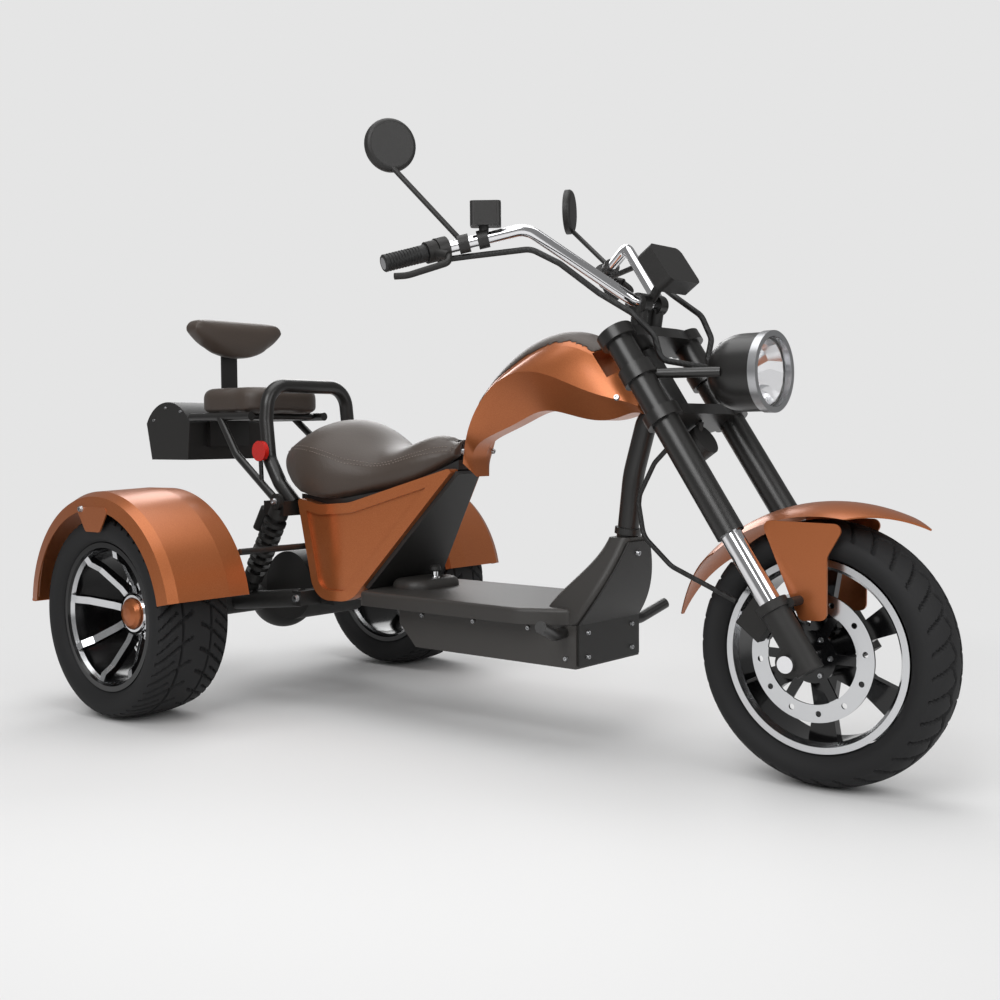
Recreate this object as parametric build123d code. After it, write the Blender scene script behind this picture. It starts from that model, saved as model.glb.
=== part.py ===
from build123d import *
import math
import os

# Electric trike, millimetres. While building, x runs forward from the rear axle,
# y to the left and z up from the floor; the last step centres the whole along x.

# Fits: a turning shaft, and two pieces that rest on each other
RUNNING_FIT = 0.05
SEAT_GAP = 0.3
SHEET = 3

# Wheels
WHEELBASE = 1402
REAR_TYRE_RADIUS = 219
REAR_TYRE_HALF = 90
REAR_WHEEL_Y = 410
REAR_RIM_RADIUS = 158
REAR_RIM_HALF = 76
REAR_SPOKES = 8
REAR_SPOKE_HALF = 8
REAR_SHAFT_RADIUS = 14
REAR_SHAFT_END = 400
HUB_CAP_RADIUS = 33
FRONT_TYRE_RADIUS = 226
FRONT_TYRE_HALF = 62
FRONT_RIM_RADIUS = 164
FRONT_RIM_HALF = 45
FRONT_SPOKES = 6
FRONT_HUB_RADIUS = 40
FRONT_HUB_HALF = 50
FRONT_AXLE_RADIUS = 8
DISC_RADIUS = 110
DISC_BAND = 30
DISC_THICK = 4
DISC_ARMS = 6
DISC_HOLES = 12
BEAD_DEPTH = 9

# Steering: the legs lean back by RAKE, and the steering axis runs behind them
RAKE = 34
LEG_Y = 113
LEG_OFFSET = 32
CLAMP_X, CLAMP_Z = 1150, 627
CLAMP_THICK = 22
CLAMP_BOSS = 34
UPPER_CLAMP_AT = 172
LEG_TOP_AT = 178
CASING_END_AT = -240
LEG_CASTING_AT = -372
LEG_END_AT = -500
UPPER_TUBE_RADIUS = 25
STANCHION_RADIUS = 19
CASTING_RADIUS = 24
STEM_RADIUS = 15
HEAD_RADIUS = 27
HEAD_GAP = 3

# Handlebar, given for the left hand, and its controls
BAR_RADIUS = 11
BAR_BENDS = (40, 45, 40)
GRIP_RADIUS = 16
GRIP_LENGTH = 84
GRIP_END = (717, 360, 906)
GRIP_START = (763, 260, 937)
BAR_PEAK = (888, 161, 973)
BAR_SEAT = (1047, 42, 836)
RISER_Y = 26
RISER_RADIUS = 15
PERCH_RADIUS = 20
PERCH_LENGTH = 20
POD_RADIUS = 22
POD_LENGTH = 21
LEVER_RADIUS = 6
RING_RADIUS = 17
RING_LENGTH = 20
MIRRORS = (("right", -1, (677, -297, 1133)), ("left", 1, (643, 297, 1091)))
MIRROR_RADIUS = 49
MIRROR_DEPTH = 16
MIRROR_TOE = 26
MIRROR_GLASS = 3
MIRROR_STEM = 5
RESERVOIR = (56, 40, 44)
RESERVOIR_LIFT = 44

# Lamp, horn and display
LAMP_Z = 703
LAMP_BACK, LAMP_FRONT = 1190, 1305
LAMP_RADIUS = 71
LAMP_RING = 15
LAMP_BOWL = 60
HORN_AT = (1166, 572)
HORN_RADIUS = 30
DISPLAY_AT = (1090, 896)
DISPLAY_SIZE = (34, 104, 84)
DISPLAY_TILT = 35

# Cords: routes chosen point by point
HARNESS_RADIUS = 5.5
HARNESS_ROUTES = (
    ((772, -243, 921), (800, -222, 925), (903, -168, 934), (955, -150, 905), (1015, -112, 850),
     (1072, -90, 812), (1110, -78, 772), (1120, -72, 728), (1190, -18, 712)),
    ((772, 243, 921), (800, 222, 925), (903, 168, 934), (975, 130, 896), (1048, 84, 858),
     (1111, 80, 816), (1135, 76, 772), (1130, 68, 728), (1190, 18, 712)),
)
HARNESS_BENDS = (20, 40, 30, 40, 40, 25, 20)
HOSE_RADIUS = 4.5
HOSE_ROUTE = ((1142, -60, 586), (1098, -60, 545), (1062, -60, 480), (1076, -62, 412), (1140, -70, 362),
              (1280, -86, 312))
HOSE_BENDS = (12, 40, 45, 40, 60)

# Front fender: an arc of its own centre, wider than the tyre
FENDER_X, FENDER_Z, FENDER_RADIUS = 1424, 157, 326
FENDER_HALF = 78
FENDER_DROP = 22
FENDER_FRONT, FENDER_REAR = 62, 159

# Rear fenders
ARCH_RADIUS = 270
ARCH_INNER_Y, ARCH_OUTER_Y = 304, 512
ARCH_FRONT, ARCH_REAR = 11, 175

# Deck: a tray on two rails, with a nose that sweeps up round the down tube
DECK_TOP = 272
DECK_DEPTH = 30
DECK_SHEET = 6
DECK_HALF = 150
DECK_TONGUE = 92
DECK_REAR, DECK_STEP, DECK_SHOULDER, DECK_FRONT = 396, 412, 850, 938
HUMP_REAR, HUMP_FRONT, HUMP_HALF, HUMP_RISE = 424, 522, 76, 20
RAIL_RADIUS = 12
CROSS_RADIUS = 10
RAIL_FRONT, RAIL_Y, RAIL_TAIL_Y = 836, 112, 80
RAIL_Z = DECK_TOP - DECK_SHEET - RAIL_RADIUS - SEAT_GAP
DOWN_TUBE_RADIUS = 20
COLLAR_RISE = 5
# Rows of the nose: z, rear x, front x, half-width
NOSE = (
    (DECK_TOP - DECK_DEPTH, 862, 953, 104),
    (292, 893, 985, 92),
    (345, 942, 1008, 68),
    (404, 974, 1022, 36),
)
NOSE_CORNER = 16
NOSE_PLATE = 4
BOX_REAR, BOX_FRONT = 494, 953
BOX_HALF = 104
BOX_BOTTOM = 160
BOX_TOP = RAIL_Z - RAIL_RADIUS - SEAT_GAP
BOX_CHAMFER = 46
BATTERY_HALF = 64

# Body shell: the panels run straight, then close in on the tank's tail
BODY_HEIGHT = 700
PANEL_Y = 140
PANEL_THICK = 18
PANEL_RIM = 7
PANEL_RIM_WIDTH = 22
PANEL_BEND_X, PANEL_BEND = 340, 120
PANEL_TIP = (612, -34)
PANEL_LINE = ((226, 464), (277, 244), (376, 244), (602, 534), (376, 456), (296, 450))
PANEL_CORNERS = (8, 56, 46, 6, 70, 60)
COVER_FOOT = (404, DECK_TOP + SEAT_GAP)
COVER_HEAD = (597, 520)
COVER_FOOT_HALF, COVER_HEAD_HALF = 112, 34
COVER_THICK = 5

# Stations of the tank cover: bottom x, z, half-width; top x, z, half-width;
# share of the way up to the crease, its half-width, and how far the top is crowned
TANK = (
    (1050, 634, 24, 1046, 672, 26, 0.35, 40, 8),
    (1003, 630, 26, 996, 735, 42, 0.33, 64, 20),
    (940, 624, 24, 926, 780, 50, 0.40, 76, 24),
    (868, 638, 22, 850, 788, 50, 0.50, 80, 24),
    (795, 640, 20, 738, 744, 48, 0.68, 70, 26),
    (706, 606, 20, 648, 664, 40, 0.72, 52, 20),
    (638, 512, 20, 608, 558, 30, 0.60, 42, 12),
)
PAD_STATIONS = TANK[1:6]
PAD_INSET = 4
PAD_THICK = 7

# Stations of the driver seat: x, half-width, bottom, shoulder, top
SEAT = (
    (142, 96, 535, 560, 580),
    (170, 136, 508, 568, 604),
    (215, 158, 480, 574, 624),
    (275, 166, 464, 568, 632),
    (360, 140, 470, 540, 592),
    (460, 100, 492, 544, 577),
    (548, 66, 530, 568, 596),
    (596, 42, 556, 580, 598),
)
SEAT_EDGE = 12
SEAT_FLOOR = 463
PAN_REAR = 213

# The seat lifts about a pin in its nose, and a hand goes through the hoop
SEAT_HINGE = (580, 580)
HINGE_PIN_RADIUS = 4
HINGE_LUG_RADIUS = 8
HINGE_LUG_HALF = 6
HINGE_SLOT_HALF = 8
HOOP_X, HOOP_TOP, HOOP_LEG_Y = 98, 713, 127
HOOP_RADIUS = 16
HOOP_BOX = ((66, -78, 585), (134, 78, 670))

# Rear frame, rack, passenger seat and tail box
UPRIGHT_RADIUS = 14
SEAT_TUBE_X, SEAT_TUBE_Z, SEAT_TUBE_HALF = 200, 440, 104
PIVOT_X = 300
RACK_Z = 645
RACK_REAR, RACK_FRONT, RACK_HALF = -196, 30, 112
RACK_RAIL, RACK_BAR, RACK_STRUT = 10, 8, 9
RACK_BARS = (-192, -120, -60, -6)
PILLION_REAR, PILLION_FRONT, PILLION_HALF = -190, 40, 120
PILLION_TOP = 710
POST_THICK = 6
BACKREST_X, BACKREST_Z = -141, 834
BACKREST_THICK = 49
BACKREST_HALF, BACKREST_RISE = 137, 47
TAIL_REAR, TAIL_FRONT, TAIL_HALF = -382, -204, 113
TAIL_BOTTOM, TAIL_TOP = 542, 684
TAIL_WALL = 90

# Rear axle, motor and shocks
AXLE_TUBE_RADIUS = 30
AXLE_TUBE_END = 318
GEAR_CASE_RADIUS = 78
ARM_Y, ARM_RADIUS = 158, 20
MOTOR_X, MOTOR_Z, MOTOR_RADIUS, MOTOR_HALF = 128, 258, 78, 92
SHOCK_TOP, SHOCK_BOTTOM = (200, -164, 456), (80, -164, 262)
SHOCK_TUBE_RADIUS = 12
SPRING_RADIUS = 25
SPRING_COILS = 7
COIL_PITCH, COIL_THICK = 19, 9
CANISTER_RADIUS = 13
STAY_RADIUS = 7
PEG_RADIUS = 11

LEAN = Vector(-math.sin(math.radians(RAKE)), 0, math.cos(math.radians(RAKE)))
AHEAD = Vector(math.cos(math.radians(RAKE)), 0, math.sin(math.radians(RAKE)))
AXLE = Vector(WHEELBASE, 0, FRONT_TYRE_RADIUS)


def on_leg(along, y=0.0, ahead=0.0):
    """A point of the leg line, measured up from the lower clamp."""
    start = Vector(CLAMP_X, y, CLAMP_Z)
    return start + LEAN * along + AHEAD * ahead


def on_axis(along, ahead=0.0):
    """A point of the steering axis, measured up from the lower clamp."""
    return on_leg(along, 0, ahead - LEG_OFFSET)


def on_bar(hand, share):
    """A point of the bar's rising run; hand is -1 for the right and 1 for the left."""
    start, end = Vector(*GRIP_START), Vector(*BAR_PEAK)
    at = start + (end - start) * share
    return Vector(at.X, hand * at.Y, at.Z)


def rod(start, end, radius, bore=0.0):
    a, b = Vector(start), Vector(end)
    face = Circle(radius)
    if bore:
        face -= Circle(bore)
    return extrude(Plane(origin=a, z_dir=b - a) * face, amount=(b - a).length)


def pipe(points, radius, bends):
    path = FilletPolyline(*points, radius=bends)
    section = Plane(origin=path @ 0, z_dir=path % 0) * Circle(radius)
    return sweep(section, path=path)


def side(y):
    """A plane seen from the right: across is x, up is z, and out is -y."""
    return Plane(origin=(0, y, 0), x_dir=(1, 0, 0), z_dir=(0, -1, 0))


def slab(face, y_from, y_to):
    return extrude(side(max(y_from, y_to)) * face, amount=abs(y_to - y_from))


def box(x0, x1, y0, y1, z0, z1):
    return Pos((x0 + x1) / 2, (y0 + y1) / 2, (z0 + z1) / 2) * Box(x1 - x0, y1 - y0, z1 - z0)


def rounded(points, radius):
    return make_face(FilletPolyline(*points, radius=radius, close=True))


def flip(shape):
    return mirror(shape, about=Plane.XZ)


def pair(shape):
    return shape + flip(shape)


def turned(edges, axis_x=0.0, axis_z=0.0, start=0.0, arc=360.0):
    """Revolve a profile of (y, radius) about a cross axis; angles run up from the front."""
    face = Plane.YZ * make_face(edges)
    first = start - 90
    body = revolve(face, Axis.Y, -arc)
    return Pos(axis_x, 0, axis_z) * Rot(0, -first, 0) * body


def tyre(radius, half, rim_radius, rim_half):
    seat = rim_half - 4
    bead = rim_radius - BEAD_DEPTH
    wall = rim_radius + 3
    bulge = rim_radius + 0.45 * (radius - rim_radius)
    shoulder, crown = radius - 9, half - 9
    edges = [
        Line((-seat, bead), (seat, bead)),
        Line((seat, bead), (seat, wall)),
        ThreePointArc((seat, wall), (half, bulge), (crown, shoulder)),
        ThreePointArc((crown, shoulder), (0, radius), (-crown, shoulder)),
        ThreePointArc((-crown, shoulder), (-half, bulge), (-seat, wall)),
        Line((-seat, wall), (-seat, bead)),
    ]
    return turned(edges)


def barrel(rim_radius, rim_half, well):
    """The rim's drum: a bead seat between two flanges, and a drop to its inner face."""
    seat, bead = rim_half - 3.8, rim_radius - BEAD_DEPTH - 0.2
    inner = rim_radius - 2 * BEAD_DEPTH
    lip = inner + 7
    edges = Polyline(
        (-rim_half, rim_radius), (-seat, rim_radius), (-seat, bead), (seat, bead), (seat, rim_radius),
        (rim_half, rim_radius), (rim_half, lip), (well, inner), (-well, inner), (-rim_half, lip), close=True,
    )
    return turned(edges)


def rear_wheel():
    """The right rear wheel about its own centre; its outer side is -y."""
    rim = barrel(REAR_RIM_RADIUS, REAR_RIM_HALF, REAR_RIM_HALF - 14)
    hub = Polyline((-4, 34), (-4, 44), (4, 62), (18, 62), (18, 48), (52, 48), (52, 0), (-4, 0), close=True)
    rim += turned(hub)
    reach, face = REAR_RIM_RADIUS - 15, REAR_RIM_HALF - 6
    arm = Polyline(
        (46, -8), (62, -14), (reach - 31, 24 - face), (reach - 15, 4 - face), (reach, -face),
        (reach, 12 - face), (reach - 23, 36 - face), (62, 8), (46, 8), close=True,
    )
    spoke = extrude(Plane.XY * make_face(arm), amount=REAR_SPOKE_HALF, both=True)
    for k in range(REAR_SPOKES):
        rim += Rot(0, 360 * k / REAR_SPOKES + 12, 0) * spoke
    rim -= rod((0, -4.5, 0), (0, 60, 0), REAR_SHAFT_RADIUS + RUNNING_FIT)
    r = HUB_CAP_RADIUS
    cap = turned(Polyline((-4, 0), (-4, r), (-14, r), (-20, r - 7), (-24, r - 19), (-25, 0), close=True))
    return {
        "tyre": tyre(REAR_TYRE_RADIUS, REAR_TYRE_HALF, REAR_RIM_RADIUS, REAR_RIM_HALF),
        "rim": rim,
        "hub_cap": cap,
    }


def front_wheel():
    rim = barrel(FRONT_RIM_RADIUS, FRONT_RIM_HALF, FRONT_RIM_HALF - 11)
    rim += rod((0, -FRONT_HUB_HALF, 0), (0, FRONT_HUB_HALF, 0), FRONT_HUB_RADIUS)
    foot, waist, reach = FRONT_HUB_RADIUS - 4, FRONT_RIM_RADIUS - 72, FRONT_RIM_RADIUS - 14
    arm = make_face(Polyline(
        (foot, -26), (waist, -17), (reach, -27), (reach, 27), (waist, 17), (foot, 26), close=True,
    ))
    spoke = extrude(side(9) * arm, amount=18)
    for k in range(FRONT_SPOKES):
        rim += Rot(0, 360 * k / FRONT_SPOKES + 30, 0) * spoke
    rim -= rod((0, -FRONT_HUB_HALF - 1, 0), (0, FRONT_HUB_HALF + 1, 0), FRONT_AXLE_RADIUS + RUNNING_FIT)
    inside = DISC_RADIUS - DISC_BAND
    ring = Circle(DISC_RADIUS) - Circle(inside)
    for k in range(DISC_ARMS):
        ring += Rot(0, 0, 360 * k / DISC_ARMS) * Pos(inside - 20, 0) * Rectangle(46, 16)
    ring += Circle(FRONT_HUB_RADIUS + 4)
    ring -= Circle(20)
    for k in range(DISC_HOLES):
        ring -= Rot(0, 0, 360 * k / DISC_HOLES + 8) * Pos(DISC_RADIUS - DISC_BAND / 2, 0) * Circle(5)
    return {
        "tyre": tyre(FRONT_TYRE_RADIUS, FRONT_TYRE_HALF, FRONT_RIM_RADIUS, FRONT_RIM_HALF),
        "rim": rim,
        "disc": extrude(side(-FRONT_HUB_HALF) * ring, amount=DISC_THICK),
    }


def tank_plane(bx, bz, tx, tz):
    """The plane of one tank station, with its up direction along the station, and the height."""
    rise = Vector(tx - bx, 0, tz - bz)
    return Plane(origin=(bx, 0, bz), x_dir=(0, 1, 0), z_dir=Vector(0, 1, 0).cross(rise)), rise.length


def tank_section(bx, bz, half_b, tx, tz, half_t, share, half_c, crown):
    """A keystone below the crease, a swept-in flank above it, and a crowned top."""
    plane, height = tank_plane(bx, bz, tx, tz)
    crease, edge = share * height, height - crown
    mid = (half_t + 0.52 * (half_c - half_t), crease + 0.6 * (edge - crease))
    edges = [
        Line((-half_b, 0), (half_b, 0)),
        Line((half_b, 0), (half_c, crease)),
        ThreePointArc((half_c, crease), mid, (half_t, edge)),
        ThreePointArc((half_t, edge), (0, height), (-half_t, edge)),
        ThreePointArc((-half_t, edge), (-mid[0], mid[1]), (-half_c, crease)),
        Line((-half_c, crease), (-half_b, 0)),
    ]
    return plane * make_face(edges)


def pad_section(bx, bz, half_b, tx, tz, half_t, share, half_c, crown):
    """The pad over the crowned top; its underside is cut by the cover later."""
    plane, height = tank_plane(bx, bz, tx, tz)
    half = half_t - PAD_INSET
    edge = height - crown * (half / half_t) ** 2 + 2
    low = height - crown - 12
    edges = [
        Line((-half, low), (half, low)),
        Line((half, low), (half, edge)),
        ThreePointArc((half, edge), (0, height + PAD_THICK), (-half, edge)),
        Line((-half, edge), (-half, low)),
    ]
    return plane * make_face(edges)


def clamp_drum(radius):
    """The room that the upper clamp and its bolts need as they turn."""
    return rod(on_axis(UPPER_CLAMP_AT - 20), on_axis(UPPER_CLAMP_AT + 40), radius)


def tank_nodes(frame):
    cover = loft([tank_section(*row) for row in TANK])
    cover -= rod(on_axis(-40), on_axis(240), HEAD_RADIUS + 1)
    cover -= clamp_drum(80)
    pad = loft([pad_section(*row) for row in PAD_STATIONS])
    pad -= clamp_drum(82)
    return {"tank_cover": cover - frame, "tank_pad": pad - cover}


def driver_seat():
    """The saddle, with a slot under its nose for the hinge lug and a pin across it."""
    sections = []
    for x, half, bottom, shoulder, top in SEAT:
        flat, waist = half - SEAT_EDGE, (bottom + shoulder) / 2
        edges = [
            Line((-flat, bottom), (flat, bottom)),
            ThreePointArc((flat, bottom), (half, waist), (half - 10, shoulder)),
            ThreePointArc((half - 10, shoulder), (0, top), (10 - half, shoulder)),
            ThreePointArc((10 - half, shoulder), (-half, waist), (-flat, bottom)),
        ]
        sections.append(Plane(origin=(x, 0, 0), x_dir=(0, 1, 0), z_dir=(1, 0, 0)) * make_face(edges))
    saddle = loft(sections)
    hx, hz = SEAT_HINGE
    room = HINGE_LUG_RADIUS + 2
    slot = box(hx - room - 8, hx + 40, -HINGE_SLOT_HALF, HINGE_SLOT_HALF, hz - 80, hz + room)
    pin = rod((hx, -HINGE_SLOT_HALF, hz), (hx, HINGE_SLOT_HALF, hz), HINGE_PIN_RADIUS)
    return saddle - slot + pin


def panel_plan(shift):
    """The panel's run seen from above, moved out by shift."""
    run = FilletPolyline((200, -PANEL_Y), (PANEL_BEND_X, -PANEL_Y), PANEL_TIP, radius=PANEL_BEND)
    return Pos(0, -shift) * run


def panel_band(outer, inner):
    ends = [Line(outer @ 1, inner @ 1), Line(inner @ 0, outer @ 0)]
    return extrude(make_face(outer.edges() + inner.edges() + ends), amount=BODY_HEIGHT)


def side_panel():
    """The right side panel: a teardrop that closes in forward, with a raised rim."""
    whole = rounded(PANEL_LINE, PANEL_CORNERS)
    field = offset(whole, amount=-PANEL_RIM_WIDTH)
    plate = slab(whole, 0, -2 * PANEL_Y) & panel_band(panel_plan(0), panel_plan(-PANEL_THICK))
    rim = slab(whole - field, 0, -2 * PANEL_Y) & panel_band(panel_plan(PANEL_RIM), panel_plan(0))
    return plate + rim


def front_cover():
    """The flat black plate that closes the gap between the panels' front edges."""
    rise = Vector(COVER_HEAD[0] - COVER_FOOT[0], 0, COVER_HEAD[1] - COVER_FOOT[1])
    foot = Plane(origin=(COVER_FOOT[0], 0, COVER_FOOT[1]), x_dir=(0, 1, 0), z_dir=Vector(0, 1, 0).cross(rise))
    face = make_face(Polyline(
        (-COVER_FOOT_HALF, 0), (COVER_FOOT_HALF, 0), (COVER_HEAD_HALF, rise.length),
        (-COVER_HEAD_HALF, rise.length), close=True,
    ))
    plate = extrude(foot * face, amount=COVER_THICK, both=True)
    return plate - box(300, 700, -300, 300, 0, COVER_FOOT[1])


def seat_base(frame, cover, seat):
    """The pan under the saddle, inside the panels, with the hinge lug at its front."""
    line = make_face(Polyline(
        (PAN_REAR, 446), (350, 446), (470, 470), (592, 526), (592, 546), (548, 524), (460, 486),
        (340, SEAT_FLOOR), (PAN_REAR, SEAT_FLOOR + 8), close=True,
    ))
    pan = slab(line, -PANEL_Y, PANEL_Y)
    inner = PANEL_Y - PANEL_THICK - SEAT_GAP
    tip = PANEL_TIP[1] + PANEL_THICK + SEAT_GAP
    right = ((200, -inner), (PANEL_BEND_X, -inner), (PANEL_TIP[0], tip))
    left = tuple((x, -y) for x, y in reversed(right))
    pan = pan & extrude(rounded(right + left, (1, PANEL_BEND, 1, 1, PANEL_BEND, 1)), amount=BODY_HEIGHT)
    pan = pan - seat - Pos(0, 0, -SEAT_GAP) * seat
    hx, hz = SEAT_HINGE
    lug = make_face(Polyline((hx - 7, 528), (hx + 7, 534), (hx + 7, hz), (hx - 7, hz), close=True))
    lug = slab(lug, -HINGE_LUG_HALF, HINGE_LUG_HALF)
    lug += rod((hx, -HINGE_LUG_HALF, hz), (hx, HINGE_LUG_HALF, hz), HINGE_LUG_RADIUS)
    lug -= rod((hx, -HINGE_SLOT_HALF, hz), (hx, HINGE_SLOT_HALF, hz), HINGE_PIN_RADIUS + RUNNING_FIT)
    return pan + lug - frame - cover


def down_tube(spare=0.0):
    """The tube from the head down into the nose, and its link back to the rails."""
    tube = pipe(
        (on_axis(40), (1046, 0, 634), (1012, 0, 520), (998, 0, 404), (966, 0, 310), (936, 0, 264)),
        DOWN_TUBE_RADIUS + spare, (40, 200, 120, 60),
    )
    return tube + rod((942, 0, 266), (RAIL_FRONT - 7, 0, RAIL_Z), RAIL_RADIUS + spare)


def main_frame():
    frame = pair(pipe(
        ((RAIL_FRONT, -RAIL_Y, RAIL_Z), (520, -RAIL_Y, RAIL_Z), (430, -RAIL_TAIL_Y, RAIL_Z),
         (PIVOT_X, -RAIL_TAIL_Y, RAIL_Z)),
        RAIL_RADIUS, (60, 60),
    ))
    frame += down_tube()
    collar = NOSE[-1][0] + COLLAR_RISE
    frame += rod((998.5, 0, collar), (1000, 0, collar + 12), DOWN_TUBE_RADIUS + 5)
    for x, reach in ((RAIL_FRONT - 8, RAIL_Y), (PIVOT_X + 12, RAIL_TAIL_Y)):
        frame += rod((x, -reach, RAIL_Z), (x, reach, RAIL_Z), CROSS_RADIUS)
    inset = CLAMP_THICK / 2 + HEAD_GAP
    frame += rod(on_axis(inset), on_axis(UPPER_CLAMP_AT - inset), HEAD_RADIUS)
    right_end = Vector(SEAT_TUBE_X, -SEAT_TUBE_HALF, SEAT_TUBE_Z)
    left_end = Vector(SEAT_TUBE_X, SEAT_TUBE_HALF, SEAT_TUBE_Z)
    upright = rod((PIVOT_X, -RAIL_TAIL_Y, RAIL_Z), right_end + Vector(0, 6, 0), UPRIGHT_RADIUS)
    shock_lug = box(150, 216, -178, 6 - SEAT_TUBE_HALF, SEAT_TUBE_Z - 16, SEAT_TUBE_Z + 16)
    arm_lug = box(236, PIVOT_X + 6, -117, -70, 230, 262)
    arm_lug += box(236, 264, -ARM_Y - 16, -100, 230, 262)
    frame += pair(upright + shock_lug + arm_lug)
    frame += rod(right_end, left_end, UPRIGHT_RADIUS)
    frame += box(PIVOT_X + 4, PIVOT_X + 20, -60, 60, RAIL_Z, DECK_TOP + 8)
    return frame - rod(on_axis(0), on_axis(UPPER_CLAMP_AT), STEM_RADIUS + RUNNING_FIT)


def deck_nodes():
    """The moulded deck with its nose, the plate on the nose and the battery box below."""
    half, tongue = DECK_HALF, DECK_TONGUE
    right = ((DECK_REAR, -tongue), (DECK_STEP, -tongue), (DECK_STEP, -half), (DECK_SHOULDER, -half),
             (DECK_FRONT, -NOSE[0][3]))
    left = tuple((x, -y) for x, y in reversed(right))
    corners = (10, 6, 24, 60, 10, 10, 60, 24, 6, 10)
    plan = Pos(0, 0, DECK_TOP - DECK_DEPTH) * rounded(right + left, corners)
    tray = extrude(plan, amount=DECK_DEPTH)
    tray = fillet(tray.edges().group_by(Axis.Z)[-1], 8)
    wall = DECK_SHEET + 2
    below, ceiling = NOSE[0][0] - 1, DECK_TOP - DECK_SHEET
    room = box(DECK_STEP + wall, DECK_SHOULDER - wall, wall - half, half - wall, below, ceiling)
    tray -= fillet(room.edges().filter_by(Axis.Z), 18)
    beside = RAIL_TAIL_Y - RAIL_RADIUS - SEAT_GAP
    tray -= pair(box(DECK_REAR - 1, DECK_STEP + wall + 1, -tongue - 1, -beside, below, ceiling))
    hump = box(HUMP_REAR, HUMP_FRONT, -HUMP_HALF, HUMP_HALF, DECK_TOP - 4, DECK_TOP + HUMP_RISE)
    hump = fillet(hump.edges().filter_by(Axis.Z), 40)
    hump = fillet(hump.edges().group_by(Axis.Z)[-1], HUMP_RISE - 4)
    rows = []
    skins = []
    for z, rear, front, wide in NOSE:
        rows.append(Pos((rear + front) / 2, 0, z) * RectangleRounded(front - rear, 2 * wide, NOSE_CORNER))
        middle = front + 2 * SEAT_GAP + NOSE_PLATE / 2
        skins.append(Pos(middle, 0, z) * RectangleRounded(NOSE_PLATE, 2 * wide - 10, NOSE_PLATE / 3))
    deck = tray + hump + loft(rows) - down_tube(SEAT_GAP)
    plate = loft(skins) - box(800, 1100, -200, 200, NOSE[-1][0] - 8, NOSE[-1][0] + 20)
    low = BOX_FRONT + 2 * SEAT_GAP
    plate += box(low, low + NOSE_PLATE, 5 - BOX_HALF, BOX_HALF - 5, BOX_BOTTOM + 5, NOSE[0][0])
    shell = slab(make_face(Polyline(
        (BOX_REAR, BOX_TOP), (BOX_FRONT, BOX_TOP), (BOX_FRONT, BOX_BOTTOM),
        (BOX_REAR + BOX_CHAMFER, BOX_BOTTOM), (BOX_REAR, BOX_BOTTOM + BOX_CHAMFER), close=True,
    )), -BOX_HALF, BOX_HALF)
    return {"deck": deck, "nose_plate": plate, "battery_box": shell}


def fork_nodes():
    made = {}
    for along, name in ((0, "lower_clamp"), (UPPER_CLAMP_AT, "upper_clamp")):
        plane = Plane(origin=on_axis(along - CLAMP_THICK / 2), x_dir=(0, -1, 0), z_dir=LEAN)
        reach = LEG_Y + 18
        face = make_face(Polyline(
            (-reach, LEG_OFFSET - 16), (-reach, LEG_OFFSET + 22), (-60, LEG_OFFSET + 26),
            (60, LEG_OFFSET + 26), (reach, LEG_OFFSET + 22), (reach, LEG_OFFSET - 16),
            (30, -26), (-30, -26), close=True,
        ))
        for y in (-LEG_Y, LEG_Y):
            face += Pos(y, LEG_OFFSET) * Circle(CLAMP_BOSS)
            face -= Pos(y, LEG_OFFSET) * Circle(UPPER_TUBE_RADIUS)
        made[name] = extrude(plane * face, amount=CLAMP_THICK)
    stem = rod(on_axis(-CLAMP_THICK / 2), on_axis(UPPER_CLAMP_AT + CLAMP_THICK / 2), STEM_RADIUS)
    made["upper_clamp"] -= stem
    made["lower_clamp"] += stem
    runs = (("fork_upper_tubes", CASING_END_AT, LEG_TOP_AT, UPPER_TUBE_RADIUS),
            ("fork_stanchions", LEG_CASTING_AT, CASING_END_AT, STANCHION_RADIUS),
            ("fork_lowers", LEG_END_AT, LEG_CASTING_AT, CASTING_RADIUS))
    for name, low, high, radius in runs:
        made[name] = pair(rod(on_leg(low, -LEG_Y), on_leg(high, -LEG_Y), radius))
    boss = rod((AXLE.X, -LEG_Y - 22, AXLE.Z), (AXLE.X, 22 - LEG_Y, AXLE.Z), CASTING_RADIUS)
    boss += rod(on_leg(LEG_CASTING_AT - 16, -LEG_Y), on_leg(LEG_CASTING_AT, -LEG_Y), CASTING_RADIUS + 4)
    nut = LEG_Y + 35
    bore = rod((AXLE.X, -nut, AXLE.Z), (AXLE.X, nut, AXLE.Z), FRONT_AXLE_RADIUS)
    made["fork_lowers"] = made["fork_lowers"] + pair(boss) - bore
    collars = rod((AXLE.X, -nut, AXLE.Z), (AXLE.X, -LEG_Y - 24.5, AXLE.Z), 14)
    collars += rod((AXLE.X, 24.5 - LEG_Y, AXLE.Z), (AXLE.X, -FRONT_HUB_HALF - 1, AXLE.Z), 13)
    made["front_axle"] = bore + pair(collars)
    return made


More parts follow.
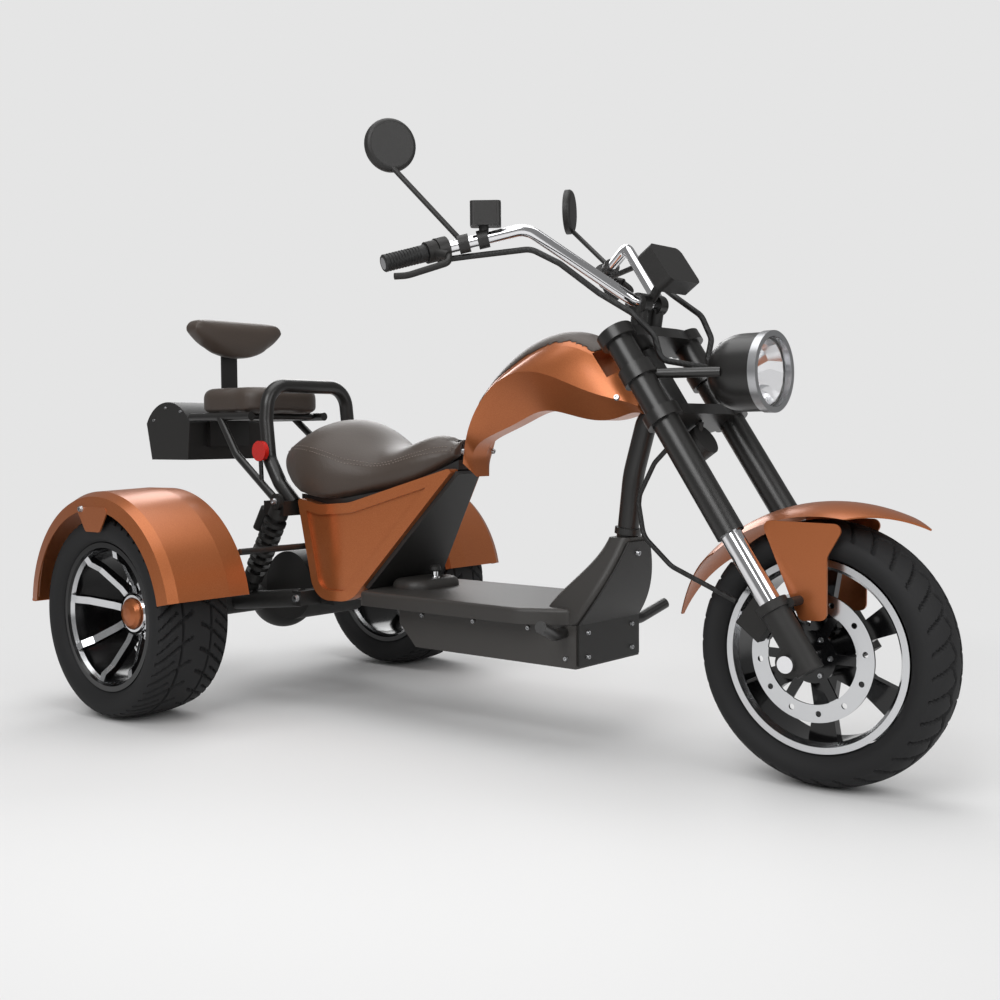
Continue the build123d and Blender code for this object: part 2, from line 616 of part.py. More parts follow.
def front_fender_nodes(lowers):
    half, r, low = FENDER_HALF, FENDER_RADIUS, FENDER_RADIUS - FENDER_DROP
    edges = [
        ThreePointArc((-half, low), (0, r), (half, low)),
        Line((half, low), (half - SHEET, low)),
        ThreePointArc((half - SHEET, low), (0, r - SHEET), (SHEET - half, low)),
        Line((SHEET - half, low), (-half, low)),
    ]
    arch = turned(edges, FENDER_X, FENDER_Z, FENDER_FRONT - 1, FENDER_REAR - FENDER_FRONT + 2)
    rear, front = FENDER_X - 310, FENDER_X + 158
    plan = make_face(Polyline(
        (rear, 0), (rear + 136, -90), (front - 132, -90), (front, 0), (front - 132, 90),
        (rear + 136, 90), close=True,
    ))
    arch = arch & extrude(plan, amount=2 * r)
    lobe = rounded(((1320, 452), (1392, 288), (1440, 292), (1440, 396), (1472, 450)), 12)
    arch += pair(slab(lobe, -half, 4 - half))
    boss = rod((1392, -half, 322), (1392, 1 - LEG_Y, 322), 8)
    lowers = lowers + (pair(boss) - arch)
    return {"front_fender": arch - lowers, "fork_lowers": lowers}


def mirror_nodes(bar):
    """Round mirrors, toed out, each on a stem with its own ring round the bar."""
    made = {}
    panes = None
    dome = Cylinder(MIRROR_RADIUS, MIRROR_DEPTH)
    dome = fillet(dome.edges().sort_by(Axis.Z)[-1], 0.6 * MIRROR_DEPTH)
    pane = Pos(0, 0, (MIRROR_GLASS - MIRROR_DEPTH) / 2) * Cylinder(MIRROR_RADIUS - 4, MIRROR_GLASS)
    run = (on_bar(1, 1) - on_bar(1, 0)).normalized()
    for name, hand, centre in MIRRORS:
        toe = math.radians(MIRROR_TOE)
        place = Plane(origin=centre, z_dir=(math.cos(toe), hand * math.sin(toe), 0))
        along = Vector(run.X, hand * run.Y, run.Z) * (RING_LENGTH / 2)
        seat = on_bar(hand, 0.28)
        ring = rod(seat - along, seat + along, RING_RADIUS)
        stem = rod(seat, Vector(*centre) + place.z_dir * 2 + Vector(0, 0, 10 - MIRROR_RADIUS), MIRROR_STEM)
        made["mirror_" + name] = ring + stem + place * (dome - pane) - place * pane - bar
        glass = place * pane
        panes = glass if panes is None else panes + glass
    made["mirror_glass"] = panes
    return made


def control_nodes(clamp):
    made = {}
    half_bar = (GRIP_END, GRIP_START, BAR_PEAK, BAR_SEAT)
    path = [(x, -y, z) for x, y, z in half_bar] + list(reversed(half_bar))
    bar = pipe(path, BAR_RADIUS, BAR_BENDS + BAR_BENDS[::-1])
    made["handlebar"] = bar
    sx, _, sz = BAR_SEAT
    foot = on_leg(UPPER_CLAMP_AT + CLAMP_THICK / 2, 0, -14)
    riser = rod((foot.X, -RISER_Y, foot.Z), (sx, -RISER_Y, sz), RISER_RADIUS)
    riser += rod((sx, -RISER_Y - 12, sz), (sx, 12 - RISER_Y, sz), RISER_RADIUS + 4)
    made["bar_risers"] = pair(riser) - bar - clamp
    end = Vector(GRIP_END[0], -GRIP_END[1], GRIP_END[2])
    start = Vector(GRIP_START[0], -GRIP_START[1], GRIP_START[2])
    way = (start - end).normalized()
    flange = rod(end + way * (GRIP_LENGTH - 6), end + way * GRIP_LENGTH, GRIP_RADIUS + 4)
    made["grips"] = pair(rod(end, end + way * GRIP_LENGTH, GRIP_RADIUS) + flange - bar)
    perch_at = GRIP_LENGTH + 2
    pivot = end + way * (perch_at + PERCH_LENGTH / 2) + Vector(44, 0, -12)
    perch = rod(end + way * perch_at, end + way * (perch_at + PERCH_LENGTH), PERCH_RADIUS)
    perch += rod(end + way * (perch_at + PERCH_LENGTH / 2), pivot, LEVER_RADIUS + 3)
    blade = (pivot, pivot + Vector(12, -14, -14), end + Vector(46, 14, -24), end + Vector(34, -6, -26))
    perch += pipe(blade, LEVER_RADIUS, (12, 60))
    made["brake_levers"] = pair(perch - bar)
    pod_at = perch_at + PERCH_LENGTH + 1
    pod = rod(end + way * pod_at, end + way * (pod_at + POD_LENGTH), POD_RADIUS)
    made["switch_pods"] = pair(pod - bar - perch)
    made.update(mirror_nodes(bar))
    seat = on_bar(-1, 0.5)
    run = (on_bar(-1, 1) - on_bar(-1, 0)).normalized()
    pot = Box(*RESERVOIR)
    pot = fillet(pot.edges().filter_by(Axis.Z), 8)
    level = Plane(origin=seat + Vector(8, -2, RESERVOIR_LIFT), x_dir=(run.X, run.Y, 0), z_dir=(0, 0, 1))
    ring = rod(seat - run * (RING_LENGTH / 2), seat + run * (RING_LENGTH / 2), RING_RADIUS)
    neck = rod(seat, seat + Vector(6, -2, RESERVOIR_LIFT), 9)
    made["brake_reservoir"] = ring + neck + level * pot - bar
    dx, dz = DISPLAY_AT
    dial = Box(*DISPLAY_SIZE)
    dial = fillet(dial.edges().filter_by(Axis.X), 14)
    dial = Pos(dx, 0, dz) * Rot(0, -DISPLAY_TILT, 0) * dial
    made["display"] = dial + rod((sx, 0, sz), (dx, 0, dz), 9) - bar - made["bar_risers"]
    return made


def lamp_nodes(tubes, clamp):
    back, front, r = LAMP_BACK, LAMP_FRONT, LAMP_RADIUS
    rear, seat = back + 30, front - LAMP_RING
    profile = make_face(Polyline(
        (back, 0), (back, 40), (rear, r - 3), (seat, r - 3), (seat, r - 12), (seat - LAMP_BOWL, 16),
        (seat - LAMP_BOWL, 0), close=True,
    ))
    shell = Pos(0, 0, LAMP_Z) * revolve(Plane.XZ * profile, Axis.X, 360)
    made = {"headlight_shell": shell}
    made["headlight_ring"] = rod((seat, 0, LAMP_Z), (front, 0, LAMP_Z), r, r - 10)
    made["headlight_lens"] = rod((front - 9, 0, LAMP_Z), (front - 4, 0, LAMP_Z), r - 10)
    collar_at = (LAMP_Z - CLAMP_Z) / math.cos(math.radians(RAKE))
    hold = on_leg(collar_at, -LEG_Y)
    collar = rod(on_leg(collar_at - 14, -LEG_Y), on_leg(collar_at + 14, -LEG_Y), UPPER_TUBE_RADIUS + 7)
    collar += rod(hold + Vector(10, 10, 0), (back + 45, 8 - r, LAMP_Z), 9)
    made["headlight_bracket"] = pair(collar) - tubes - shell
    hx, hz = HORN_AT
    horn = extrude(Plane(origin=(hx - 20, 0, hz), z_dir=AHEAD) * Circle(HORN_RADIUS), amount=28)
    made["horn"] = horn + rod(on_leg(-CLAMP_THICK / 2), (hx - 18, 0, hz), 7) - clamp
    return made


def brake_caliper(lowers):
    """A two-sided caliper over the disc's rear edge, on an arm from the right leg."""
    gap = DISC_THICK / 2 + 6
    disc_y = -FRONT_HUB_HALF - DISC_THICK / 2
    body = box(-34, 34, disc_y - 32, disc_y + 16, -26, 26)
    body -= box(-60, 60, disc_y - gap, disc_y + gap, -60, 14)
    at = Pos(AXLE.X - 84, 0, AXLE.Z + 62) * Rot(0, -53.6, 0)
    arm = rod((AXLE.X - 70, disc_y - 28, AXLE.Z + 66), (AXLE.X - 20, 13 - LEG_Y, AXLE.Z + 50), 10)
    return at * body + arm - lowers


def cord_nodes(made):
    harness = None
    for route in HARNESS_ROUTES:
        cord = pipe(route, HARNESS_RADIUS, HARNESS_BENDS) - made["switch_pods"] - made["headlight_shell"]
        harness = cord if harness is None else harness + cord
    start = on_leg(-CLAMP_THICK / 2 - SEAT_GAP, HOSE_ROUTE[0][1], -30)
    hose = pipe((start,) + HOSE_ROUTE, HOSE_RADIUS, HOSE_BENDS)
    return {"harness": harness, "brake_hose": hose - made["brake_caliper"]}


def rear_fender():
    """The right rear fender, with its outer lip and bolt tab."""
    r, yi, yo = ARCH_RADIUS, -ARCH_INNER_Y, -ARCH_OUTER_Y
    out = [(yi, r - 14), (yi - 8, r - 3), (yi - 60, r), (yo + 26, r - 4), (yo + 6, r - 14), (yo, r - 42)]
    inn = [
        (yo + SHEET, r - 42), (yo + 9, r - 16), (yo + 27, r - 4 - SHEET), (yi - 60, r - SHEET),
        (yi - 9, r - 3 - SHEET), (yi - SHEET, r - 14),
    ]
    shell = turned(Polyline(*out, *inn, close=True), 0, REAR_TYRE_RADIUS, ARCH_FRONT, ARCH_REAR - ARCH_FRONT)
    top = REAR_TYRE_RADIUS + r - 36
    tab = rounded(((-62, top), (62, top), (26, top - 52), (-26, top - 52)), 10)
    shell += slab(tab, yo, yo + SHEET)
    lip = rounded(((-13 - r, 232), (4 - r, 232), (8 - r, 262), (-r, 262)), 3)
    return shell + slab(lip, yo + 20, yi - 20)


def tail_box():
    wall, middle = TAIL_BOTTOM + TAIL_WALL, (TAIL_REAR + TAIL_FRONT) / 2
    section = make_face([
        Line((TAIL_REAR + 20, TAIL_BOTTOM), (TAIL_FRONT - 10, TAIL_BOTTOM)),
        Line((TAIL_FRONT - 10, TAIL_BOTTOM), (TAIL_FRONT, wall)),
        ThreePointArc((TAIL_FRONT, wall), (middle, TAIL_TOP), (TAIL_REAR, wall)),
        Line((TAIL_REAR, wall), (TAIL_REAR + 20, TAIL_BOTTOM)),
    ])
    return slab(section, -TAIL_HALF, TAIL_HALF)


def rack_nodes(frame):
    made = {"tail_box": tail_box()}
    strut = ((182, -158, SEAT_TUBE_Z + 6), (10, -140, 556), (-84, -RACK_HALF - 2, RACK_Z - 2))
    rack = pair(pipe(strut, RACK_STRUT, (60,)))
    for x in RACK_BARS:
        rack += rod((x, -RACK_HALF, RACK_Z), (x, RACK_HALF, RACK_Z), RACK_BAR)
    rack += pair(rod((RACK_REAR, -RACK_HALF, RACK_Z), (RACK_FRONT, -RACK_HALF, RACK_Z), RACK_RAIL))
    rack += box(TAIL_FRONT - 12, RACK_REAR + 2, -60, 60, RACK_Z - 70, RACK_Z + 5)
    made["rear_rack"] = rack - frame - made["tail_box"]
    seat = box(PILLION_REAR, PILLION_FRONT, -PILLION_HALF, PILLION_HALF, RACK_Z + RACK_RAIL, PILLION_TOP)
    seat = fillet(seat.edges().filter_by(Axis.Z), 60)
    made["passenger_seat"] = fillet(seat.edges().group_by(Axis.Z)[-1], 18)
    post = box(PILLION_REAR - POST_THICK, PILLION_REAR, -23, 23, RACK_Z + RACK_RAIL - 1, BACKREST_Z + 20)
    made["backrest_post"] = post - made["rear_rack"]
    w, h = BACKREST_HALF, BACKREST_RISE
    moon = make_face([
        Line((27 - w, -h), (w - 27, -h)),
        ThreePointArc((w - 27, -h), (w - 8, 8 - h), (w, 27 - h)),
        ThreePointArc((w, 27 - h), (0, h), (-w, 27 - h)),
        ThreePointArc((-w, 27 - h), (8 - w, 8 - h), (27 - w, -h)),
    ])
    face = Plane(origin=(BACKREST_X, 0, BACKREST_Z), x_dir=(0, 1, 0), z_dir=(-1, 0, 0)) * moon
    rest = extrude(face, amount=BACKREST_THICK)
    made["passenger_backrest"] = fillet(rest.edges().group_by(Axis.X)[-1], 14)
    reflector = rod((110, -158, 565), (110, -147, 565), 23) + rod((110, -152, 545), (110, -150, 494), 5)
    made["side_reflectors"] = pair(reflector) - made["rear_rack"]
    near, foot = -HOOP_LEG_Y, SEAT_TUBE_Z + 8
    leg = ((SEAT_TUBE_X, near - 3, foot), (150, near - 2, 490), (HOOP_X + 12, near, 548),
           (HOOP_X, near + 2, 634), (HOOP_X, near + 11, HOOP_TOP))
    far = tuple((x, -y, z) for x, y, z in reversed(leg))
    made["grab_hoop"] = pipe(leg + far, HOOP_RADIUS, (60, 40, 80, 52, 52, 80, 40, 60)) - frame
    return made


def axle_nodes(frame):
    hub_z = REAR_TYRE_RADIUS
    housing = rod((0, -AXLE_TUBE_END, hub_z), (0, AXLE_TUBE_END, hub_z), AXLE_TUBE_RADIUS)
    housing += rod((0, -REAR_SHAFT_END, hub_z), (0, REAR_SHAFT_END, hub_z), REAR_SHAFT_RADIUS)
    housing += Pos(0, 0, hub_z) * Sphere(GEAR_CASE_RADIUS)
    housing += pair(rod((250, -ARM_Y, 246), (24, -ARM_Y, hub_z + 3), ARM_RADIUS))
    housing -= frame
    motor = rod((MOTOR_X, -MOTOR_HALF, MOTOR_Z), (MOTOR_X, MOTOR_HALF, MOTOR_Z), MOTOR_RADIUS)
    return {"rear_axle_housing": housing, "drive_motor": motor - housing - frame}


def shocks(frame, housing):
    """Coil-over shocks, each with a gas canister behind its upper end."""
    top, bottom = Vector(*SHOCK_TOP), Vector(*SHOCK_BOTTOM)
    unit = (bottom - top).normalized()
    behind = Vector(unit.Z, 0, -unit.X) * (SPRING_RADIUS + CANISTER_RADIUS + 2)
    shock = rod(top + unit * 24, bottom - unit * 24, SHOCK_TUBE_RADIUS)
    for k in range(SPRING_COILS):
        at = top + unit * (52 + COIL_PITCH * k)
        shock += rod(at, at + unit * COIL_THICK, SPRING_RADIUS)
    shock += rod(top + unit * 14, top + unit * 40, SPRING_RADIUS - 3)
    shock += rod(bottom - unit * 40, bottom - unit * 20, SPRING_RADIUS - 3)
    shock += rod(top + Vector(0, -24, 0), top + Vector(0, -13, 0), 17)
    shock += rod(top + unit * 14 + Vector(0, -18, 0), top + Vector(0, -18, 0), 8)
    shock += rod(bottom + Vector(0, -12, 0), bottom + Vector(0, 14, 0), 14)
    shock += rod(bottom - unit * 24, bottom, 10)
    shock += rod(bottom, bottom + Vector(0, 0, -40), 9)
    shock += rod(top + unit * 46 + behind, top + unit * 100 + behind, CANISTER_RADIUS)
    shock += rod(top + unit * 48, top + unit * 54 + behind, 6)
    return pair(shock) - frame - housing


def build():
    made = {}
    wheel = rear_wheel()
    for name, y, turn in (("right", -REAR_WHEEL_Y, 0), ("left", REAR_WHEEL_Y, 180)):
        for piece, shape in wheel.items():
            made["rear_" + piece + "_" + name] = Pos(0, y, REAR_TYRE_RADIUS) * Rot(0, 0, turn) * shape
    for piece, shape in front_wheel().items():
        made["front_" + piece] = Pos(AXLE.X, 0, AXLE.Z) * shape
    # Steering
    made.update(fork_nodes())
    made.update(front_fender_nodes(made["fork_lowers"]))
    made.update(control_nodes(made["upper_clamp"]))
    made.update(lamp_nodes(made["fork_upper_tubes"], made["lower_clamp"]))
    made["brake_caliper"] = brake_caliper(made["fork_lowers"])
    made.update(cord_nodes(made))
    # Frame and body
    frame = main_frame()
    made["main_frame"] = frame
    made.update(deck_nodes())
    made.update(tank_nodes(frame))
    panel = side_panel()
    made["side_panel_right"], made["side_panel_left"] = panel, flip(panel)
    made["front_cover"] = front_cover() - pair(panel) - made["tank_cover"]
    made["driver_seat"] = driver_seat()
    made["seat_base"] = seat_base(frame, made["front_cover"], made["driver_seat"])
    made["battery"] = box(262, 390, -BATTERY_HALF, BATTERY_HALF, DECK_TOP + 8, 430)
    # Rear
    made.update(rack_nodes(frame))
    fender = rear_fender()
    made["rear_fender_right"], made["rear_fender_left"] = fender, flip(fender)
    made.update(axle_nodes(frame))
    made["shocks"] = shocks(frame, made["rear_axle_housing"])
    stay = rod((238, -94, 357), (230, -ARCH_INNER_Y - 6, 356), STAY_RADIUS) - fender - frame
    made["fender_stays"] = pair(stay)
    peg = pipe(((924, 4 - BOX_HALF, 227), (932, -140, 227), (950, -206, 252)), PEG_RADIUS, (30,))
    made["foot_pegs"] = pair(peg - made["battery_box"])
    return made


def main():
    made = build()
    spans = [shape.bounding_box() for shape in made.values()]
    rear = min(span.min.X for span in spans)
    front = max(span.max.X for span in spans)
    floor = min(span.min.Z for span in spans)
    middle = (rear + front) / 2
    os.makedirs("parts", exist_ok=True)
    for name, shape in made.items():
        export_step(Pos(-middle, 0, -floor) * shape, "parts/" + name + ".step")
    print(len(made), "nodes, middle at", round(middle, 2))


if __name__ == "__main__":
    main()
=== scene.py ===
# %% [markdown]
# # A copper chopper trike
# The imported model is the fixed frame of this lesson. Every piece made here is placed from its boxes, in
# metres, and rides on one of its bodies: the frame, the steering, the seat or a wheel.

# %% Load the frame
import math

import bmesh
import bpy
from mathutils import Euler, Matrix, Vector
from mathutils.bvhtree import BVHTree


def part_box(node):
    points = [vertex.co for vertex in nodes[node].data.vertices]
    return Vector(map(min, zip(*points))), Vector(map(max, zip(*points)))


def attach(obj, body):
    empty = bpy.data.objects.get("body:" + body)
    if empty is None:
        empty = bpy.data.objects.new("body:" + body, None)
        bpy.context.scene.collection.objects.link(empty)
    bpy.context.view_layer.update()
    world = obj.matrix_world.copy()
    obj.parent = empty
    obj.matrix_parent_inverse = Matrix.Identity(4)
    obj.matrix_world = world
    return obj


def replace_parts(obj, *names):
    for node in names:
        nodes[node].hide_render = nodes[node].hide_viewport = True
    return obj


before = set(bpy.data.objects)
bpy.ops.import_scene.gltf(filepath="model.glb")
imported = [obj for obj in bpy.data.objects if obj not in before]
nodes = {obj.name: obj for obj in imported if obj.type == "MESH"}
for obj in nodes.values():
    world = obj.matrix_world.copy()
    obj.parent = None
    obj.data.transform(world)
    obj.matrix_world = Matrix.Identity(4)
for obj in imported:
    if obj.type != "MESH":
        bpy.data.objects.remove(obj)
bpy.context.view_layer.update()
print("pieces from the frame:", len(nodes))

# %% [markdown]
# ## Camera
# The photograph was taken from ahead and to the right, at about the height of the seat, with a short
# telephoto. The place, the angles and the lens come from a fit of the wheels' ellipses and the fork's
# lines.

# %% Camera
CAMERA_PLACE = (1.723, -1.972, 0.598)
CAMERA_TURN, CAMERA_DIP, CAMERA_ROLL = 40.13, 2.97, -0.43
LENS_MM, SENSOR_MM = 45.39, 36.0

camera_data = bpy.data.cameras.new("camera")
camera_data.lens = LENS_MM
camera_data.sensor_width = SENSOR_MM
camera = bpy.data.objects.new("camera", camera_data)
bpy.context.collection.objects.link(camera)
aim = Euler((math.radians(90 - CAMERA_DIP), 0, math.radians(CAMERA_TURN))).to_matrix()
roll = Matrix.Rotation(math.radians(CAMERA_ROLL), 3, "Z")
camera.matrix_world = Matrix.Translation(CAMERA_PLACE) @ (aim @ roll).to_4x4()
bpy.context.scene.camera = camera
bpy.context.scene.view_settings.view_transform = "Standard"
print("camera at", CAMERA_PLACE)

# %% [markdown]
# ## Colours and shader nodes
# Colours are written as they look on a screen, so they are turned into linear light first. Every
# material is a short tree of nodes, and one helper adds a node, its settings and whatever feeds it.

# %% Helpers for materials


def linear(code):
    """Linear light for an sRGB hex colour."""
    parts = [int(code[i:i + 2], 16) / 255 for i in (0, 2, 4)]
    return (*[p / 12.92 if p <= 0.04045 else ((p + 0.055) / 1.055) ** 2.4 for p in parts], 1.0)


def wire(tree, node, links):
    """Feed sockets of a node, each with a value or with another node's output."""
    for socket, source in links.items():
        if isinstance(source, bpy.types.NodeSocket):
            tree.links.new(source, node.inputs[socket])
        else:
            node.inputs[socket].default_value = source


def add(tree, kind, links=None, **settings):
    node = tree.nodes.new(kind)
    for name, value in settings.items():
        setattr(node, name, value)
    wire(tree, node, links or {})
    return node


def blank(name, colour, roughness, metallic=0.0):
    """A material with a plain principled shader, and the object coordinates for its patterns."""
    material = bpy.data.materials.new(name)
    material.use_nodes = True
    tree = material.node_tree
    shader = tree.nodes["Principled BSDF"]
    wire(tree, shader, {"Base Color": linear(colour), "Roughness": roughness, "Metallic": metallic})
    place = add(tree, "ShaderNodeTexCoord").outputs["Object"]
    return material, tree, shader, place


print("helpers ready")

# %% [markdown]
# ## Floor and light
# A studio sweep: a pale floor that keeps the shadow near the trike and fades into the backdrop's grey
# further out, so no horizon shows. Large soft lamps stand left, right, above and behind, as boxes would
# around a vehicle. The backdrop's grey is seen by the camera alone; the paint reflects a brighter room.

# %% Floor
BACKDROP = "E5E5E5"
FLOOR_SIZE = 30.0
FADE_START, FADE_END = 0.8, 2.0


def floor_material():
    """Matte paper: it takes the shadow close by and turns to plain backdrop grey with distance."""
    material, tree, shader, place = blank("studio_paper", "DEDEDE", 0.9)
    away = add(tree, "ShaderNodeVectorMath", {0: place}, operation="LENGTH").outputs["Value"]
    fade = add(tree, "ShaderNodeMapRange", {0: away, 1: FADE_START, 2: FADE_END},
               interpolation_type="SMOOTHSTEP")
    seen = add(tree, "ShaderNodeLightPath").outputs["Is Camera Ray"]
    share = add(tree, "ShaderNodeMath", {0: fade.outputs["Result"], 1: seen}, operation="MULTIPLY")
    glow = add(tree, "ShaderNodeEmission", {"Color": linear(BACKDROP)})
    mix = add(tree, "ShaderNodeMixShader", {0: share.outputs[0], 1: shader.outputs[0], 2: glow.outputs[0]})
    wire(tree, tree.nodes["Material Output"], {"Surface": mix.outputs[0]})
    return material


floor_bm = bmesh.new()
bmesh.ops.create_grid(floor_bm, x_segments=1, y_segments=1, size=FLOOR_SIZE / 2)
floor_mesh = bpy.data.meshes.new("floor")
floor_bm.to_mesh(floor_mesh)
floor_bm.free()
floor_mesh.materials.append(floor_material())
floor = bpy.data.objects.new("floor", floor_mesh)
bpy.context.collection.objects.link(floor)
print("floor", FLOOR_SIZE, "m")

# %% [markdown]
# ## Light
# A vehicle is lit by wide soft boxes, because a small lamp would draw a hard spot in every curve. Four
# area lamps do that here, and the room's even light fills the shadows.

# %% Light
ROOM_STRENGTH = 0.38
LAMPS_AIM = (0, 0, 0.45)
# Lamp: place, power in watts, width in metres
LAMPS = {
    "key": ((0.9, -3.0, 2.6), 70, 2.2),
    "front": ((3.2, -0.4, 1.8), 32, 1.8),
    "top": ((-0.2, 0.0, 3.2), 45, 2.6),
    "back": ((-2.4, 2.2, 2.2), 45, 2.0),
}

world = bpy.data.worlds.new("studio")
bpy.context.scene.world = world
world.use_nodes = True
sky = world.node_tree
sky.nodes.clear()
path = add(sky, "ShaderNodeLightPath")
seen = add(sky, "ShaderNodeMath", {0: path.outputs["Is Camera Ray"], 1: path.outputs["Is Transmission Ray"]},
           operation="MAXIMUM")
room = add(sky, "ShaderNodeMix", {0: path.outputs["Is Glossy Ray"], 6: linear("FFFFFF"), 7: linear("D0D0D0")},
           data_type="RGBA")
room_light = add(sky, "ShaderNodeBackground", {"Color": room.outputs[2], "Strength": ROOM_STRENGTH})
backdrop = add(sky, "ShaderNodeBackground", {"Color": linear(BACKDROP), "Strength": 1.0})
both = add(sky, "ShaderNodeMixShader", {0: seen.outputs[0], 1: room_light.outputs[0], 2: backdrop.outputs[0]})
add(sky, "ShaderNodeOutputWorld", {"Surface": both.outputs[0]})
for name, (place, power, width) in LAMPS.items():
    lamp = bpy.data.lights.new(name, "AREA")
    lamp.energy, lamp.size = power, width
    holder = bpy.data.objects.new(name, lamp)
    look = (Vector(LAMPS_AIM) - Vector(place)).to_track_quat("-Z", "Y").to_matrix().to_4x4()
    holder.matrix_world = Matrix.Translation(place) @ look
    bpy.context.collection.objects.link(holder)
print("lamps:", ", ".join(LAMPS))

# %% [markdown]
# ## Paint, plastic and metal
# The shell is sprayed in satin copper over black powder-coated steel. Patterns are given in millimetres
# and are drawn as fine bumps, which keeps the highlights of a big smooth panel from looking like plain
# plastic.

# %% Painted and moulded surfaces
MM = 0.001


def wave_scale(pitch):
    """Scale of a wave texture, which turns 20 times a radian, for a pitch in millimetres."""
    return math.tau / (20 * pitch * MM)


def copper_paint():
    """Satin metallic copper: flakes give the broad warm sheen, the clear coat the sharp edge lights."""
    material, tree, shader, place = blank("satin_copper_paint", "B5652F", 0.34, 0.62)
    flake = add(tree, "ShaderNodeTexNoise", {"Vector": place, "Scale": 1 / (1.5 * MM), "Detail": 1.0})
    tint = add(tree, "ShaderNodeMix", {0: flake.outputs["Fac"], 6: linear("9C5028"), 7: linear("BE7444")},
               data_type="RGBA")
    wire(tree, shader, {"Base Color": tint.outputs[2], "Coat Weight": 0.25, "Coat Roughness": 0.18})
    return material


def powder_coat():
    """Satin black powder coat: a faint orange peel softens the lamp reflections on the tubes."""
    material, tree, shader, place = blank("black_powder_coat", "1B1A19", 0.34)
    peel = add(tree, "ShaderNodeTexNoise", {"Vector": place, "Scale": 1 / (4 * MM), "Detail": 2.0})
    bump = add(tree, "ShaderNodeBump",
               {"Height": peel.outputs["Fac"], "Strength": 0.15, "Distance": 0.3 * MM})
    wire(tree, shader, {"Normal": bump.outputs[0], "Coat Weight": 0.15, "Coat Roughness": 0.25})
    return material


def grained_abs(name, colour):
    """Moulded ABS: the tool's fine grain makes it matt and breaks up every highlight."""
    material, tree, shader, place = blank(name, colour, 0.5)
    grain = add(tree, "ShaderNodeTexVoronoi", {"Vector": place, "Scale": 1 / (1.6 * MM)})
    bump = add(tree, "ShaderNodeBump",
               {"Height": grain.outputs["Distance"], "Strength": 0.25, "Distance": 0.2 * MM})
    wire(tree, shader, {"Normal": bump.outputs[0]})
    return material


def ribbed_abs():
    """The deck mat: ribs run along the deck on the faces that look up, and fade on its flanks."""
    material, tree, shader, place = blank("ribbed_deck_abs", "33312F", 0.48)
    ribs = add(tree, "ShaderNodeTexWave", {"Vector": place, "Scale": wave_scale(20), "Distortion": 0.0},
               wave_type="BANDS", bands_direction="Y", wave_profile="SIN")
    thin = add(tree, "ShaderNodeMath", {0: ribs.outputs["Fac"], 1: 0.9}, operation="GREATER_THAN")
    normal = add(tree, "ShaderNodeNewGeometry").outputs["Normal"]
    up = add(tree, "ShaderNodeSeparateXYZ", {0: normal}).outputs["Z"]
    level = add(tree, "ShaderNodeMath", {0: up, 1: 0.95}, operation="GREATER_THAN")
    height = add(tree, "ShaderNodeMath", {0: thin.outputs[0], 1: level.outputs[0]}, operation="MULTIPLY")
    bump = add(tree, "ShaderNodeBump", {"Height": height.outputs[0], "Strength": 0.7, "Distance": 1.2 * MM})
    wire(tree, shader, {"Normal": bump.outputs[0]})
    return material


copper = copper_paint()
coat = powder_coat()
abs_black = grained_abs("black_grained_abs", "201F1E")
abs_grey = grained_abs("dark_grey_grained_abs", "3A3836")
deck_abs = ribbed_abs()
print("painted and moulded surfaces ready")

# %% [markdown]
# ## Metal
# Chrome, anodised alloy and black castings differ mostly in how wide they spread a highlight. The wheels
# are black all over and cut bright on their faces in one turning operation, so one material splits them
# by radius and by the way a face looks, and no second mesh is laid over the spokes.

# %% Bare and plated metal


def chrome_plate():
    """Chrome plate: almost a mirror, so the lamps draw its bright lines."""
    return blank("chrome_plate", "E6E6E8", 0.08, 1.0)[0]


def satin_alloy():
    """Satin anodised alloy: a grey that shows its shape by soft wide highlights."""
    material, tree, shader, place = blank("satin_alloy", "B9BABC", 0.32, 1.0)
    fine = add(tree, "ShaderNodeTexNoise", {"Vector": place, "Scale": 1 / (2 * MM), "Detail": 2.0})
    rough = add(tree, "ShaderNodeMapRange", {0: fine.outputs["Fac"], 3: 0.26, 4: 0.4})
    wire(tree, shader, {"Roughness": rough.outputs["Result"]})
    return material


def cast_alloy():
    """Sand-cast alloy painted black: a coarse skin that scatters light."""
    material, tree, shader, place = blank("black_cast_alloy", "252423", 0.55, 0.3)
    skin = add(tree, "ShaderNodeTexNoise", {"Vector": place, "Scale": 1 / (3 * MM), "Detail": 4.0})
    bump = add(tree, "ShaderNodeBump",
               {"Height": skin.outputs["Fac"], "Strength": 0.35, "Distance": 0.5 * MM})
    wire(tree, shader, {"Normal": bump.outputs[0]})
    return material


